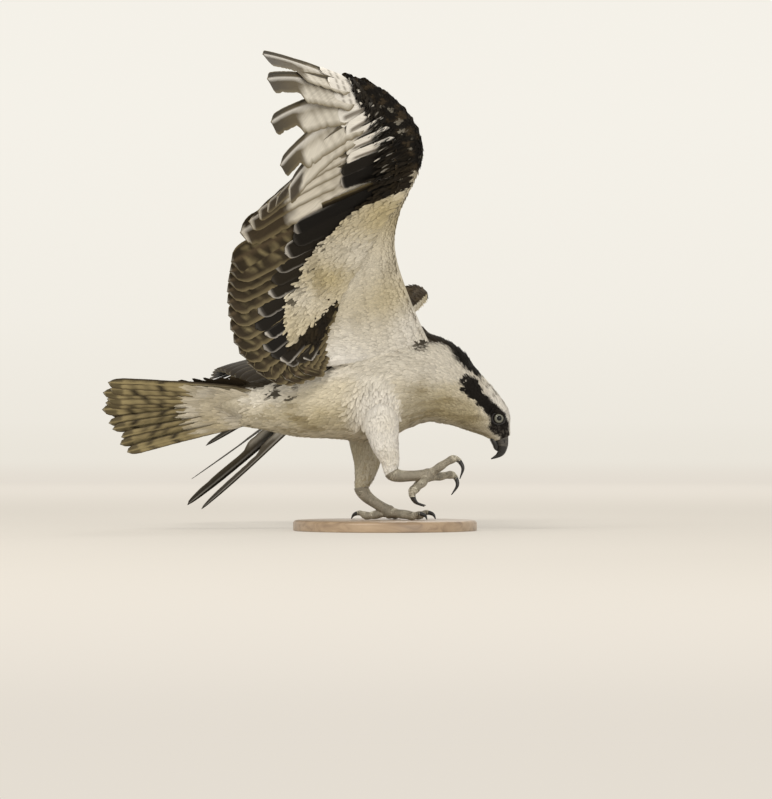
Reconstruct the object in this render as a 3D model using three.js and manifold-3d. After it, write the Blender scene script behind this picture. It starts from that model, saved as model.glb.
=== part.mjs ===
// An osprey, life size, landed on its left foot with its right wing raised, its left wing drooped
// behind it and its right foot held up and clutching. A plain round base carries the standing foot.
// Millimetres, +X forwards, +Y to the bird's left, +Z up, origin at the centre of the base's underside.
import * as THREE from "three";
import { mergeVertices } from "three/addons/utils/BufferGeometryUtils.js";
import Module from "manifold-3d";

const wasm = await Module();
wasm.setup();

// Driving dimensions
const GAP = 0.3; // clearance between neighbouring nodes
const BASE_RADIUS = 125;
const BASE_THICKNESS = 14;
const BASE_CHAMFER = 3;
const FLOOR = BASE_THICKNESS + GAP; // level on which the standing foot rests
const EYE_RADIUS = 9.5;
const FEATHER_THICKNESS = 0.8;
const PRIMARIES = 10;
const SECONDARIES = 16;
const FINGER_FROM = 6; // the first primary that stands apart as a finger
const TAIL_FEATHERS = 12;
const TAIL_COVERTS = 4;

// Colours of the materials
const WHITE_PLUMAGE = 0xe6dfcf;
const DARK_PLUMAGE = 0x3a3027;
const BARRED_PLUMAGE = 0x6f6046;
const SCALY_SKIN = 0x9c9a8c;
const HORN = 0x1a1816;
const IRIS = 0xd8b84a;
const OAK = 0x8a6a48;

// Vectors, curves and solids

const vec = (p) => new THREE.Vector3(p[0], p[1], p[2]);
const mix = (a, b, t) => a + (b - a) * t;

// A smooth curve through points, read by a share t of the points' count
function curve(points) {
  const line = new THREE.CatmullRomCurve3(points.map(vec), false, "catmullrom", 0.5);
  return (t) => line.getPoint(Math.min(1, Math.max(0, t)));
}

// A number read from evenly spaced values by a share t
function profile(values, t) {
  const at = Math.min(1, Math.max(0, t)) * (values.length - 1);
  const i = Math.min(values.length - 2, Math.floor(at));
  return mix(values[i], values[i + 1], at - i);
}

function toSolid(geometry) {
  const bare = geometry.clone();
  bare.deleteAttribute("normal");
  bare.deleteAttribute("uv");
  const merged = mergeVertices(bare, 1e-4);
  return new wasm.Manifold(
    new wasm.Mesh({
      numProp: 3,
      vertProperties: new Float32Array(merged.attributes.position.array),
      triVerts: new Uint32Array(merged.index.array),
    }),
  );
}

function toGeometry(solid) {
  const mesh = solid.getMesh();
  const geometry = new THREE.BufferGeometry();
  geometry.setAttribute("position", new THREE.BufferAttribute(new Float32Array(mesh.vertProperties), 3));
  geometry.setIndex(new THREE.BufferAttribute(new Uint32Array(mesh.triVerts), 1));
  geometry.computeVertexNormals();
  return geometry;
}

const join = (solids) => wasm.Manifold.union(solids);

// The largest closed surface of a solid
function largest(solid) {
  return solid.decompose().sort((a, b) => b.volume() - a.volume())[0];
}

// A closed skin over rings of points, each ring in the same order
function skinRings(rings) {
  const count = rings[0].length;
  const points = rings.flat();
  const faces = [];
  for (let r = 0; r + 1 < rings.length; r++)
    for (let i = 0; i < count; i++) {
      const a = r * count + i;
      const b = r * count + ((i + 1) % count);
      faces.push(a, b, b + count, a, b + count, a + count);
    }
  const first = points.length;
  const centre = (ring) => ring.reduce((sum, p) => sum.add(p), new THREE.Vector3()).divideScalar(count);
  points.push(centre(rings[0]), centre(rings[rings.length - 1]));
  const last = (rings.length - 1) * count;
  for (let i = 0; i < count; i++) {
    const j = (i + 1) % count;
    faces.push(first, j, i, first + 1, last + i, last + j);
  }
  const geometry = new THREE.BufferGeometry().setFromPoints(points);
  geometry.setIndex(faces);
  const solid = toSolid(geometry);
  return solid.volume() < 0 ? toSolid(flipped(geometry)) : solid;
}

function flipped(geometry) {
  const index = geometry.index.array;
  for (let i = 0; i < index.length; i += 3) [index[i + 1], index[i + 2]] = [index[i + 2], index[i + 1]];
  return geometry;
}

// A limb or trunk: oval rings square to a centre line. sizes holds [up, down, side] half sizes.
function limb({ centre, sizes, side = [0, 1, 0], sides = 12 }) {
  const line = curve(centre);
  const size = curve(sizes);
  const across = vec(side);
  const step = 0.004;
  const tangent = (t) => line(Math.min(1, t + step)).sub(line(Math.max(0, t - step))).normalize();
  const ring = (t, grow = 0, shift = 0) => {
    const along = tangent(t);
    const up = along.clone().cross(across).normalize();
    const sideways = up.clone().cross(along).normalize();
    const half = size(t);
    const middle = line(t).addScaledVector(along, shift);
    return Array.from({ length: sides }, (_, i) => {
      const turn = (i / sides) * 2 * Math.PI;
      const rise = Math.sin(turn);
      const height = (rise > 0 ? half.x : half.y) + grow;
      return middle
        .clone()
        .addScaledVector(up, rise * height)
        .addScaledVector(sideways, Math.cos(turn) * (half.z + grow));
    });
  };
  const solid = (from, to, steps, grow = 0, startShift = 0) =>
    skinRings(
      Array.from({ length: steps + 1 }, (_, i) => ring(mix(from, to, i / steps), grow, i === 0 ? startShift : 0)),
    );
  return { line, ring, solid, tangent };
}

// Trunk, neck and head, as one smooth body that is parted by thin cuts

const BODY = {
  centre: [
    [-190, 0, 172], [-160, 0, 173], [-122, 0, 175], [-84, 0, 179], [-46, 0, 186], [-8, 0, 195], [26, 0, 203],
    [54, 0, 203], [79, 0, 196], [101, 0, 184], [119, 0, 171], [135, 0, 157], [147, 0, 144], [155, 0, 132],
    [158, 0, 124],
  ],
  sizes: [
    [32, 34, 25], [37, 40, 34], [44, 50, 45], [51, 57, 54], [57, 66, 61], [63, 69, 64], [70, 66, 63],
    [67, 62, 58], [58, 55, 51], [44, 47, 44], [37, 38, 37], [33, 30, 31], [28, 22, 24.5], [17, 15, 17],
    [12.5, 11, 13],
  ],
};
const body = limb({ ...BODY, sides: 20 });
const NECK_FROM = 6.9 / 14;
const HEAD_FROM = 9.3 / 14;
const BODY_STEPS = { torso: 14, neck: 5, head: 10 };

const torso = () => body.solid(0, NECK_FROM, BODY_STEPS.torso);
const neck = () => body.solid(NECK_FROM, HEAD_FROM, BODY_STEPS.neck, 0, GAP);
const torsoGrown = body.solid(0, NECK_FROM, BODY_STEPS.torso, GAP, -GAP);
const neckGrown = body.solid(NECK_FROM, HEAD_FROM, BODY_STEPS.neck, GAP);
const trunkGrown = join([torsoGrown, neckGrown]);

// Head: eye cups and lids, brows, the mouth's line, cere and nostrils

const EYE = { x: 153, y: 15.5, z: 152.5 };
const eyeBall = (side, radius) =>
  toSolid(new THREE.SphereGeometry(radius, 12, 8)).translate(EYE.x, side * EYE.y, EYE.z);

function eyelids(side) {
  const lid = new THREE.TorusGeometry(EYE_RADIUS * 0.82, 1.6, 5, 14);
  lid.rotateX(Math.PI / 2);
  lid.rotateZ(side * 0.18);
  return toSolid(lid).translate(EYE.x + 0.8, side * (EYE.y + 6.6), EYE.z);
}

function eyeBrow(side) {
  const ridge = limb({
    centre: [[163, side * 15, 148], [160, side * 20, 157], [151, side * 22.5, 163], [140, side * 23, 165]],
    sizes: [[1, 1, 1], [3.2, 3.2, 2.4], [3.6, 3.6, 2.4], [1, 1, 1]],
    sides: 6,
  });
  return ridge.solid(0, 1, 4);
}

const BILL = {
  centre: [[157, 0, 129], [160, 0, 120], [159.5, 0, 112.5], [157, 0, 106], [152.5, 0, 101.5], [144.2, 0, 97.3]],
  sizes: [[11.5, 9, 12], [7.6, 8.5, 10], [6.8, 7, 7.8], [5.5, 4.8, 5.2], [3, 2.8, 3], [0.7, 0.7, 0.7]],
};
const LOWER_BILL = {
  centre: [[145, 0, 125], [148.5, 0, 118], [151, 0, 112], [153, 0, 108.5]],
  sizes: [[5, 3.2, 9.5], [5, 3, 7.6], [3.5, 2.6, 5.2], [0.9, 1, 1.6]],
};
const bill = limb({ ...BILL, sides: 14 });
const lowerBill = limb({ ...LOWER_BILL, sides: 10 });
const MOUTH = [[132, 126], [139, 127], [147, 124], [152.5, 116], [154, 109], [154, 106]];

// A thin wedge along the meeting of the jaws, wide enough to part them
function mouthCut(thick) {
  const line = curve(MOUTH.map(([x, z]) => [x, 0, z]));
  const steps = 10;
  const wide = 40;
  const rings = Array.from({ length: steps + 1 }, (_, i) => {
    const p = line(i / steps);
    return [
      [p.x - thick, -wide, p.z - thick / 2],
      [p.x - thick, wide, p.z - thick / 2],
      [p.x + thick, wide, p.z + thick / 2],
      [p.x + thick, -wide, p.z + thick / 2],
    ].map(vec);
  });
  return skinRings(rings);
}

function nostril(side) {
  const slit = new THREE.SphereGeometry(1, 8, 6);
  slit.scale(1.3, 2.6, 2.6);
  return toSolid(slit).translate(161, side * 9.4, 121.5);
}

function head() {
  const skull = body.solid(HEAD_FROM, 1, BODY_STEPS.head, 0, GAP);
  let made = join([skull, ...[-1, 1].flatMap((side) => [eyeBrow(side), eyelids(side)])]);
  made = made.subtract(bill.solid(0, 1, 10, GAP)).subtract(lowerBill.solid(0, 1, 6, GAP));
  for (const side of [-1, 1]) made = made.subtract(eyeBall(side, EYE_RADIUS + GAP));
  return largest(made.subtract(neckGrown).subtract(mouthGroove()));
}

// The line of the gape, pressed into the cheeks behind the bill
function mouthGroove() {
  const cut = mouthCut(0.6);
  const keepOut = new THREE.BoxGeometry(60, 24, 60);
  return cut.subtract(toSolid(keepOut).translate(140, 0, 115));
}

const upperBill = () =>
  [-1, 1].reduce((made, side) => made.subtract(nostril(side)), bill.solid(0, 1, 10)).subtract(
    lowerBill.solid(0, 1, 6, GAP),
  );
const lowerJaw = () => lowerBill.solid(0, 1, 6);

// Vanes: flat tapered feathers set along a quill's line

const FLIGHT_SHAPE = [0.22, 0.9, 1, 0.94, 0.34];
const FINGER_SHAPE = [0.22, 1, 0.9, 0.55, 0.38];
const COVERT_SHAPE = [0.4, 1, 0.9, 0.3];

// A line from root to tip, bowed towards the top side
function quillLine(root, tip, top, bow) {
  return (t) => root.clone().lerp(tip, t).addScaledVector(top, bow * 4 * t * (1 - t));
}

// line gives the shaft's points, inner points across the vane to the feather behind it, top is its upper side
function vane({ line, inner, top, lead, trail, shape, roll = 0, thick = FEATHER_THICKNESS }) {
  const steps = shape.length - 1;
  const across = inner
    .clone()
    .multiplyScalar(Math.cos(roll))
    .addScaledVector(top, -Math.sin(roll));
  const rings = shape.map((wide, i) => {
    const t = i / steps;
    const reach = t + 0.35 * t * (1 - t);
    const p = line(reach);
    const half = mix(thick * 1.6, thick, Math.min(1, reach * 2)) / 2;
    const front = p.clone().addScaledVector(across, -lead * wide);
    const back = p.clone().addScaledVector(across, trail * wide);
    return [
      front.clone().addScaledVector(top, half),
      back.clone().addScaledVector(top, half),
      back.clone().addScaledVector(top, -half),
      front.clone().addScaledVector(top, -half),
    ];
  });
  return plate(rings);
}

// A thin plate over four-cornered rings, split into triangles alike on both faces
function plate(rings) {
  const points = rings.flat();
  const faces = [];
  const quad = (a, b, c, d) => faces.push(a, b, c, a, c, d);
  for (let r = 0; r + 1 < rings.length; r++) {
    const a = 4 * r;
    const b = a + 4;
    quad(a, a + 1, b + 1, b);
    quad(a + 1, a + 2, b + 2, b + 1);
    faces.push(a + 2, a + 3, b + 2, a + 3, b + 3, b + 2);
    quad(a + 3, a, b, b + 3);
  }
  const end = 4 * (rings.length - 1);
  quad(3, 2, 1, 0);
  quad(end, end + 1, end + 2, end + 3);
  const geometry = new THREE.BufferGeometry().setFromPoints(points);
  geometry.setIndex(faces);
  const solid = toSolid(geometry);
  return solid.volume() < 0 ? toSolid(flipped(geometry)) : solid;
}

// Wings. lead and root run from the body past the wrist to the hand's tip, at even shares.

const WRIST = 4 / 6;
const RIGHT_WING = {
  hand: -1,
  lead: [
    [66, -22, 242], [37, -45, 306], [14, -62, 377], [20, -78, 430], [51, -100, 515], [13, -140, 580],
    [-53, -190, 611],
  ],
  root: [
    [-84, -44, 222], [-84, -54, 280], [-67, -64, 323], [-27, -82, 399], [20, -104, 482], [-7, -140, 552],
    [-50, -190, 601],
  ],
  secondaryTips: [[-108, -64, 212], [-157, -76, 205], [-200, -88, 247], [-212, -100, 312], [-206, -122, 362]],
  primaryTips: [
    [-193, -155, 400], [-181, -190, 414], [-168, -230, 426], [-154, -275, 435], [-140, -325, 442],
    [-125, -375, 450], [-134, -425, 477], [-145, -470, 530], [-149, -498, 583], [-155, -490, 615],
  ],
  fingerRolls: [0.22, 0.22, 0.22, 0.22],
};
const LEFT_WING = {
  hand: 1,
  lead: [
    [70, 30, 250], [60, 90, 268], [44, 150, 282], [34, 215, 300], [60, 290, 330], [20, 345, 332], [-56, 388, 226],
  ],
  root: [
    [-84, 42, 196], [-74, 85, 216], [-52, 125, 238], [-14, 205, 268], [24, 288, 302], [-6, 338, 280],
    [-70, 376, 204],
  ],
  secondaryTips: [[-176, 66, 190], [-207, 120, 212], [-233, 190, 222], [-246, 260, 212], [-254, 316, 190]],
  primaryTips: [
    [-259, 340, 176], [-259, 352, 168], [-258, 364, 160], [-257, 376, 152], [-256, 388, 144], [-254, 397, 134],
    [-258, 404, 112], [-279, 424, 64], [-286, 442, 26], [-266, 452, 20],
  ],
  fingerRolls: [0.9, 1.1, 0.3, 0.3],
};
// Half thickness of the flesh at the same shares as lead and root
const WING_FLESH = [26, 20, 14, 11, 10, 7, 3.5];
// Share of the chord, and the section's half thickness there
const WING_SECTION = [[0, 0.35], [0.12, 0.95], [0.4, 1], [0.75, 0.6], [1, 0.16]];

function wing({ hand, lead, root, secondaryTips, primaryTips, fingerRolls }) {
  const front = curve(lead);
  const rear = curve(root);
  const flesh = (t) => profile(WING_FLESH, t);
  const step = 0.01;
  // The upper side of the wing's surface at a share t
  const topAt = (t) => {
    const span = rear(Math.min(1, t + step)).sub(rear(Math.max(0, t - step)));
    const chord = rear(t).sub(front(t));
    return chord.cross(span).multiplyScalar(-hand).normalize();
  };
  const section = (t) => {
    const a = front(t);
    const b = rear(t);
    const top = topAt(t);
    const at = (share, height) => a.clone().lerp(b, share).addScaledVector(top, height * flesh(t));
    return [
      ...WING_SECTION.map(([share, high]) => at(share, high)),
      ...WING_SECTION.slice().reverse().map(([share, high]) => at(share, -0.7 * high)),
    ];
  };
  const fleshSolid = (from, to, steps) =>
    skinRings(Array.from({ length: steps + 1 }, (_, i) => section(mix(from, to, i / steps))));

  // Quill lines of the flight feathers, from the innermost secondary out to the last primary
  const innerTips = curve(secondaryTips);
  const outerTips = curve(primaryTips);
  const quills = [];
  for (let i = 0; i < SECONDARIES; i++) {
    const share = i / (SECONDARIES - 1);
    quills.push({ root: rear(mix(0.14, WRIST - 0.035, share)), tip: innerTips(share) });
  }
  for (let i = 0; i < PRIMARIES; i++) {
    const share = i / (PRIMARIES - 1);
    quills.push({ root: rear(mix(WRIST + 0.03, 0.985, share)), tip: outerTips(share) });
  }
  const middle = (q) => q.root.clone().lerp(q.tip, 0.6);
  quills.forEach((q, i) => {
    const along = q.tip.clone().sub(q.root).normalize();
    const behind = middle(quills[Math.max(0, i - 1)]).sub(middle(quills[Math.min(quills.length - 1, i + 1)]));
    q.inner = behind.addScaledVector(along, -behind.dot(along)).normalize();
    q.top = q.inner.clone().cross(along).multiplyScalar(-hand).normalize();
    const primary = i - SECONDARIES;
    q.roll = primary < 0 ? 0.15 : primary < FINGER_FROM ? 0.22 : fingerRolls[primary - FINGER_FROM];
    const straight = quillLine(q.root.clone().addScaledVector(along, -6), q.tip, q.top, primary < 0 ? 7 : 10);
    const sweep = primary < 0 ? 0 : mix(2, 11, (primary / (PRIMARIES - 1)) ** 2);
    q.line = (t) => straight(t).addScaledVector(q.inner, -sweep * 4 * t * (1 - t));
  });
  return { front, rear, topAt, flesh, fleshSolid, quills };
}

const ARM_FEATHER = { lead: 15, trail: 24, shape: FLIGHT_SHAPE };
const HAND_FEATHER = { lead: 12, trail: 34, shape: FLIGHT_SHAPE };
const FINGER = { lead: 10, trail: 36, shape: FINGER_SHAPE };
const LEADING_FINGER = { lead: 7, trail: 30, shape: FINGER_SHAPE };
const COVERT_EVERY = 3; // one covert of the solids stands for this many quills
const COVERTS = {
  armAbove: { face: 1, reach: 0.44, lift: 7, half: 20 },
  armBelow: { face: -1, reach: 0.37, lift: 6.5, half: 20 },
  handAbove: { face: 1, reach: 0.4, lift: 8, half: 15 },
  handBelow: { face: -1, reach: 0.34, lift: 8, half: 15 },
};

function flightFeather(q, index) {
  const primary = index - SECONDARIES;
  if (primary < 0) return vane({ ...q, ...ARM_FEATHER, lead: primary === -1 ? 22 : 15 });
  if (primary === PRIMARIES - 1) return vane({ ...q, ...LEADING_FINGER });
  return vane({ ...q, ...(primary < FINGER_FROM ? HAND_FEATHER : FINGER) });
}

// A covert over or under a flight feather, following that feather's line: face 1 is the upper side
function covert(q, { face, reach, lift, half }) {
  const line = (t) => q.line(t * reach).addScaledVector(q.top, face * mix(2, lift, Math.min(1, t * 2.5)));
  return vane({ ...q, line, lead: half, trail: half, shape: COVERT_SHAPE, thick: 0.7 });
}

// The thumb's feathers lie along the hand's upper side, each ending at a share further out
function alula(made, hand) {
  return [0.15, 0.17, 0.19].map((reach, i) => {
    const at = WRIST + 0.035 + i * 0.03;
    const root = made.front(at).lerp(made.rear(at), 0.15);
    const top = made.topAt(at + 0.1);
    const end = made.front(at + reach).lerp(made.rear(at + reach), 0.35);
    const tip = end.addScaledVector(top, 6 + 2 * i);
    const inner = tip.clone().sub(root).cross(top).multiplyScalar(hand).normalize();
    const line = quillLine(root, tip, top, 4);
    return vane({ line, inner, top, lead: 5, trail: 12, shape: COVERT_SHAPE, roll: 0.12 });
  });
}

// Each wing parts at the wrist along a plane between its secondaries and primaries
function wingNodes(spec) {
  const made = wing(spec);
  const last = made.quills[SECONDARIES - 1];
  const next = made.quills[SECONDARIES];
  const wrist = made.front(WRIST).lerp(made.rear(WRIST), 0.5);
  const split = last.tip.clone().lerp(next.tip, 0.5);
  const normal = split.clone().sub(wrist).cross(last.top.clone().add(next.top)).normalize();
  if (normal.dot(made.front(1).sub(wrist)) < 0) normal.negate();
  const offset = normal.dot(wrist);
  const feathers = made.quills.map((q, i) => {
    const tiers = [flightFeather(q, i)];
    const onArm = i < SECONDARIES;
    if (i % COVERT_EVERY === 1) {
      tiers.push(covert(q, onArm ? COVERTS.armAbove : COVERTS.handAbove));
      tiers.push(covert(q, onArm ? COVERTS.armBelow : COVERTS.handBelow));
    }
    return tiers;
  });
  const arm = join([made.fleshSolid(0, WRIST + 0.05, 9), ...feathers.slice(0, SECONDARIES).flat()]);
  const outer = join([
    made.fleshSolid(WRIST - 0.08, 1, 6),
    ...feathers.slice(SECONDARIES).flat(),
    ...alula(made, spec.hand),
  ]);
  return {
    arm: largest(arm.trimByPlane(normal.clone().negate().toArray(), -offset + GAP / 2).subtract(trunkGrown)),
    hand: largest(outer.trimByPlane(normal.toArray(), offset + GAP / 2)),
  };
}

// Tail: a fleshy root, twelve feathers in a fan tilted to show its underside, and coverts above and below

const TAIL_TIPS = { near: [-377, -63, 209], middle: [-384, 0, 163], far: [-358, 64, 114] };
const TAIL_ROOT = { near: [-186, -17, 193], middle: [-188, 0, 174], far: [-186, 19, 152] };
const TAIL_TOP = vec([0.05, 0.61, 0.79]).normalize();

function tail() {
  const tips = curve([TAIL_TIPS.near, TAIL_TIPS.middle, TAIL_TIPS.far]);
  const roots = curve([TAIL_ROOT.near, TAIL_ROOT.middle, TAIL_ROOT.far]);
  const made = [];
  for (let i = 0; i < TAIL_FEATHERS; i++) {
    const share = i / (TAIL_FEATHERS - 1);
    const fromMiddle = Math.abs(share - 0.5) * 2;
    const outward = share < 0.5 ? -1 : 1;
    const root = roots(share).addScaledVector(TAIL_TOP, -4.5 * fromMiddle);
    const tip = tips(share).addScaledVector(TAIL_TOP, -9 * fromMiddle - 2.2 * (i % 2));
    const along = tip.clone().sub(root).normalize();
    const inner = TAIL_TOP.clone().cross(along).normalize();
    const top = along.clone().cross(inner).normalize();
    if (top.dot(TAIL_TOP) < 0) top.negate();
    const wide = 13 + 2 * (1 - fromMiddle);
    const line = quillLine(root.addScaledVector(along, -10), tip, top, 2);
    inner.multiplyScalar(-outward);
    made.push(vane({ line, inner, top, lead: wide * 0.8, trail: wide, shape: FLIGHT_SHAPE, roll: -0.11 }));
  }
  for (const face of [1, -1])
    for (let i = 0; i < TAIL_COVERTS; i++) {
      const share = (i + 0.5) / TAIL_COVERTS;
      const root = roots(share).addScaledVector(TAIL_TOP, face * 6);
      const tip = tips(share)
        .lerp(roots(share), face > 0 ? 0.66 : 0.52)
        .addScaledVector(TAIL_TOP, face * 6.5 - 5 * Math.abs(share - 0.5));
      const along = tip.clone().sub(root).normalize();
      const inner = TAIL_TOP.clone().cross(along).normalize();
      const line = quillLine(root.addScaledVector(along, -6), tip, TAIL_TOP, face * 2);
      made.push(vane({ line, inner, top: TAIL_TOP, lead: 12, trail: 12, shape: COVERT_SHAPE, roll: 0.1 }));
    }
  const stump = limb({
    centre: [[-178, 0, 173], [-202, 0, 173], [-228, 0, 170]],
    sizes: [[30, 32, 27], [23, 25, 24], [5, 7, 13]],
    sides: 10,
  });
  return largest(join([stump.solid(0, 1, 4), ...made]).subtract(trunkGrown));
}

// Legs: feathered thigh, scaly shank, a foot of four toes, and claws

const RIGHT_LEG = {
  centre: [
    [-9, -30, 190], [-5, -40, 150], [0, -44, 120], [6, -45, 98], [9, -46, 80], [19, -47, 75], [38, -48, 75],
    [58, -49, 76],
  ],
  sizes: [
    [32, 34, 27], [26, 27, 24], [20, 21, 19], [15, 15, 14], [10.5, 10.5, 10.5], [8.4, 8.4, 8], [7.2, 7.2, 7],
    [8.5, 8, 8.5],
  ],
};
const LEFT_LEG = {
  centre: [
    [-26, 30, 172], [-25, 28, 130], [-24, 25, 98], [-28, 22, 74], [-32, 20, 58], [-25, 19, 46], [-10, 17, 35],
    [6, 15, 25],
  ],
  sizes: RIGHT_LEG.sizes,
};
const HEEL = 4.35 / 7;
const SHANK_END = 0.97;
const TOE_STEPS = 4;
const TOE_SHARE = 0.62; // share of a toe's line that is toe; the rest is claw

// Each toe runs from the foot's ball by knuckles to the claw's root, and then along the claw
const RIGHT_TOES = [
  [[58, -49, 76], [74, -53, 87], [90, -56, 97], [98, -57, 97], [105, -58, 86], [101, -57, 71]],
  [[58, -47, 74], [74, -36, 74], [88, -30, 76], [95, -28, 73], [98, -29, 62], [90, -31, 49]],
  [[56, -50, 74], [51, -64, 66], [42, -74, 58], [38, -76, 50], [42, -75, 40], [53, -71, 34]],
  [[54, -46, 74], [46, -42, 64], [38, -42, 56], [36, -43, 49], [42, -45, 39], [55, -46, 35]],
];
const LEFT_TOES = [
  [[6, 15, 25], [26, 13, 22], [46, 10, 20], [56, 9, 24], [65, 8, 22], [69, 7, 15.6]],
  [[6, 14, 25], [22, 0, 22], [37, -11, 19.5], [46, -18, 23], [54, -23, 21], [57, -26, 15.6]],
  [[4, 17, 25], [8, 36, 22], [14, 52, 19.5], [17, 62, 23], [20, 69, 21], [21, 73, 15.6]],
  [[4, 15, 25], [-12, 20, 21], [-25, 24, 19.5], [-34, 27, 23], [-42, 30, 21], [-46, 31, 15.6]],
];
const TOE_SIZES = [[7, 7, 7], [5.6, 5.4, 5.6], [5.4, 5.2, 5.2], [3.6, 3.4, 3.2], [2.4, 2.3, 2.2], [0.6, 0.6, 0.6]];

const toe = (points) => limb({ centre: points, sizes: TOE_SIZES, side: acrossToe(points), sides: 6 });

function acrossToe(points) {
  const run = vec(points[2]).sub(vec(points[0]));
  return run.z > 0 && Math.abs(run.x) < 1 ? [0, 1, 0] : new THREE.Vector3(run.y, -run.x, 0).normalize().toArray();
}

// Everything below the floor's level, cut away from a standing foot
const underFloor = toSolid(new THREE.BoxGeometry(400, 400, 100)).translate(0, 0, FLOOR - 50);

function legNodes(side, spec, toes) {
  const leg = limb({ ...spec, sides: 12 });
  const heel = leg.tangent(HEEL);
  const heelAt = heel.dot(leg.line(HEEL));
  const ball = toSolid(new THREE.SphereGeometry(9.5, 8, 6)).scale([1.1, 1.05, 0.9]).translate(...spec.centre[7]);
  const shankGrown = leg.solid(HEEL, SHANK_END + 0.004, 6, GAP);
  const runs = toes.map(toe);
  const foot = join([ball, ...runs.map((run) => run.solid(0, TOE_SHARE, TOE_STEPS))]);
  const whole = join([leg.solid(0, HEEL, 8), leg.solid(HEEL, SHANK_END, 6)]);
  const above = heel.clone().negate().toArray();
  const nodes = {
    [side + "_thigh"]: largest(whole.subtract(trunkGrown).trimByPlane(above, -heelAt + GAP / 2)),
    [side + "_shank"]: largest(whole.trimByPlane(heel.toArray(), heelAt + GAP / 2)),
    [side + "_foot"]: largest(foot.subtract(shankGrown).subtract(underFloor)),
  };
  runs.forEach((run, i) => {
    const claw = run.solid(TOE_SHARE, 1, 5, 0, GAP);
    nodes[side + "_claw_" + (i + 1)] = largest(claw.subtract(foot).subtract(underFloor));
  });
  return nodes;
}

function standBase() {
  const r = BASE_RADIUS;
  const c = BASE_CHAMFER;
  const outline = [[0, 0], [r, 0], [r, BASE_THICKNESS - c], [r - c, BASE_THICKNESS], [0, BASE_THICKNESS]];
  const disc = new THREE.LatheGeometry(outline.map(([x, y]) => new THREE.Vector2(x, y)), 40);
  disc.rotateX(Math.PI / 2);
  return toSolid(disc);
}

// Every node, with its colour and finish

const right = wingNodes(RIGHT_WING);
const left = wingNodes(LEFT_WING);
const NODES = {
  torso: [torso(), WHITE_PLUMAGE],
  neck: [neck(), WHITE_PLUMAGE],
  head: [head(), WHITE_PLUMAGE],
  bill_upper: [upperBill(), HORN],
  bill_lower: [lowerJaw(), HORN],
  eye_right: [eyeBall(-1, EYE_RADIUS), IRIS],
  eye_left: [eyeBall(1, EYE_RADIUS), IRIS],
  right_wing_arm: [right.arm, DARK_PLUMAGE],
  right_wing_hand: [right.hand, BARRED_PLUMAGE],
  left_wing_arm: [left.arm, DARK_PLUMAGE],
  left_wing_hand: [left.hand, BARRED_PLUMAGE],
  tail: [tail(), BARRED_PLUMAGE],
  stand_base: [standBase(), OAK],
};
const LEGS = { ...legNodes("right", RIGHT_LEG, RIGHT_TOES), ...legNodes("left", LEFT_LEG, LEFT_TOES) };
for (const [name, solid] of Object.entries(LEGS)) {
  const colour = name.includes("claw") ? HORN : name.includes("thigh") ? WHITE_PLUMAGE : SCALY_SKIN;
  NODES[name] = [solid, colour];
}

const osprey = new THREE.Group();
for (const [name, [solid, colour]] of Object.entries(NODES)) {
  const glossy = colour === HORN || colour === IRIS;
  const material = new THREE.MeshStandardMaterial({ color: colour, roughness: glossy ? 0.35 : 0.85, metalness: 0 });
  const mesh = new THREE.Mesh(toGeometry(solid), material);
  mesh.name = name;
  osprey.add(mesh);
}

export default osprey;
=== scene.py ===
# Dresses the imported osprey: one skin, a coat of mesh feathers, horn, eyes, scaly feet, a wooden base,
# a pale studio and a camera. Lengths are millimetres until a mesh is made.
import math

import bpy
import numpy as np
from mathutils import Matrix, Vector
from mathutils.bvhtree import BVHTree
from mathutils.kdtree import KDTree


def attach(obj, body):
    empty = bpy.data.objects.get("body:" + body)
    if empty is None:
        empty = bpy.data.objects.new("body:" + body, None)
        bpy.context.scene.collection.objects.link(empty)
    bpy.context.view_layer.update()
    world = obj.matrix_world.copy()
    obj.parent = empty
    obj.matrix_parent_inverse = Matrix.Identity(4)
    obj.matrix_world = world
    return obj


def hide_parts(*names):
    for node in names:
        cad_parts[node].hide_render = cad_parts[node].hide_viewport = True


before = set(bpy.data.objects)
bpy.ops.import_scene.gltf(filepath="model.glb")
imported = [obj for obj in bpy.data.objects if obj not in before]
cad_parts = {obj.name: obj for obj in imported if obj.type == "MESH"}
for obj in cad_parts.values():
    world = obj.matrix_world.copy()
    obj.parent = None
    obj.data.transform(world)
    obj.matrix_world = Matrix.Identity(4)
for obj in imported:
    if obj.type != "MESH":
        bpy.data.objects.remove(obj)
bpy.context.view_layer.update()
MM = 0.001
rng = np.random.default_rng(11)

# Curves and lofts.


def unit(v):
    """Vectors of length 1 in the same directions."""
    v = np.asarray(v, float)
    return v / np.maximum(np.linalg.norm(v, axis=-1, keepdims=True), 1e-9)


def curve(points):
    """A smooth line through points, as a function of the share of the way along it."""
    p = np.asarray(points, float)
    ext = np.vstack([2 * p[0] - p[1], p, 2 * p[-1] - p[-2]])
    last = len(p) - 1

    def at(t):
        x = np.clip(np.asarray(t, float), 0, 1) * last
        i = np.minimum(np.floor(x).astype(int), last - 1)
        w = (x - i)[..., None]
        a, b, c, d = ext[i], ext[i + 1], ext[i + 2], ext[i + 3]
        m0, m1 = 0.5 * (c - a), 0.5 * (d - b)
        return (
            (2 * w**3 - 3 * w**2 + 1) * b
            + (w**3 - 2 * w**2 + w) * m0
            + (-2 * w**3 + 3 * w**2) * c
            + (w**3 - w**2) * m1
        )

    return at


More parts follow.
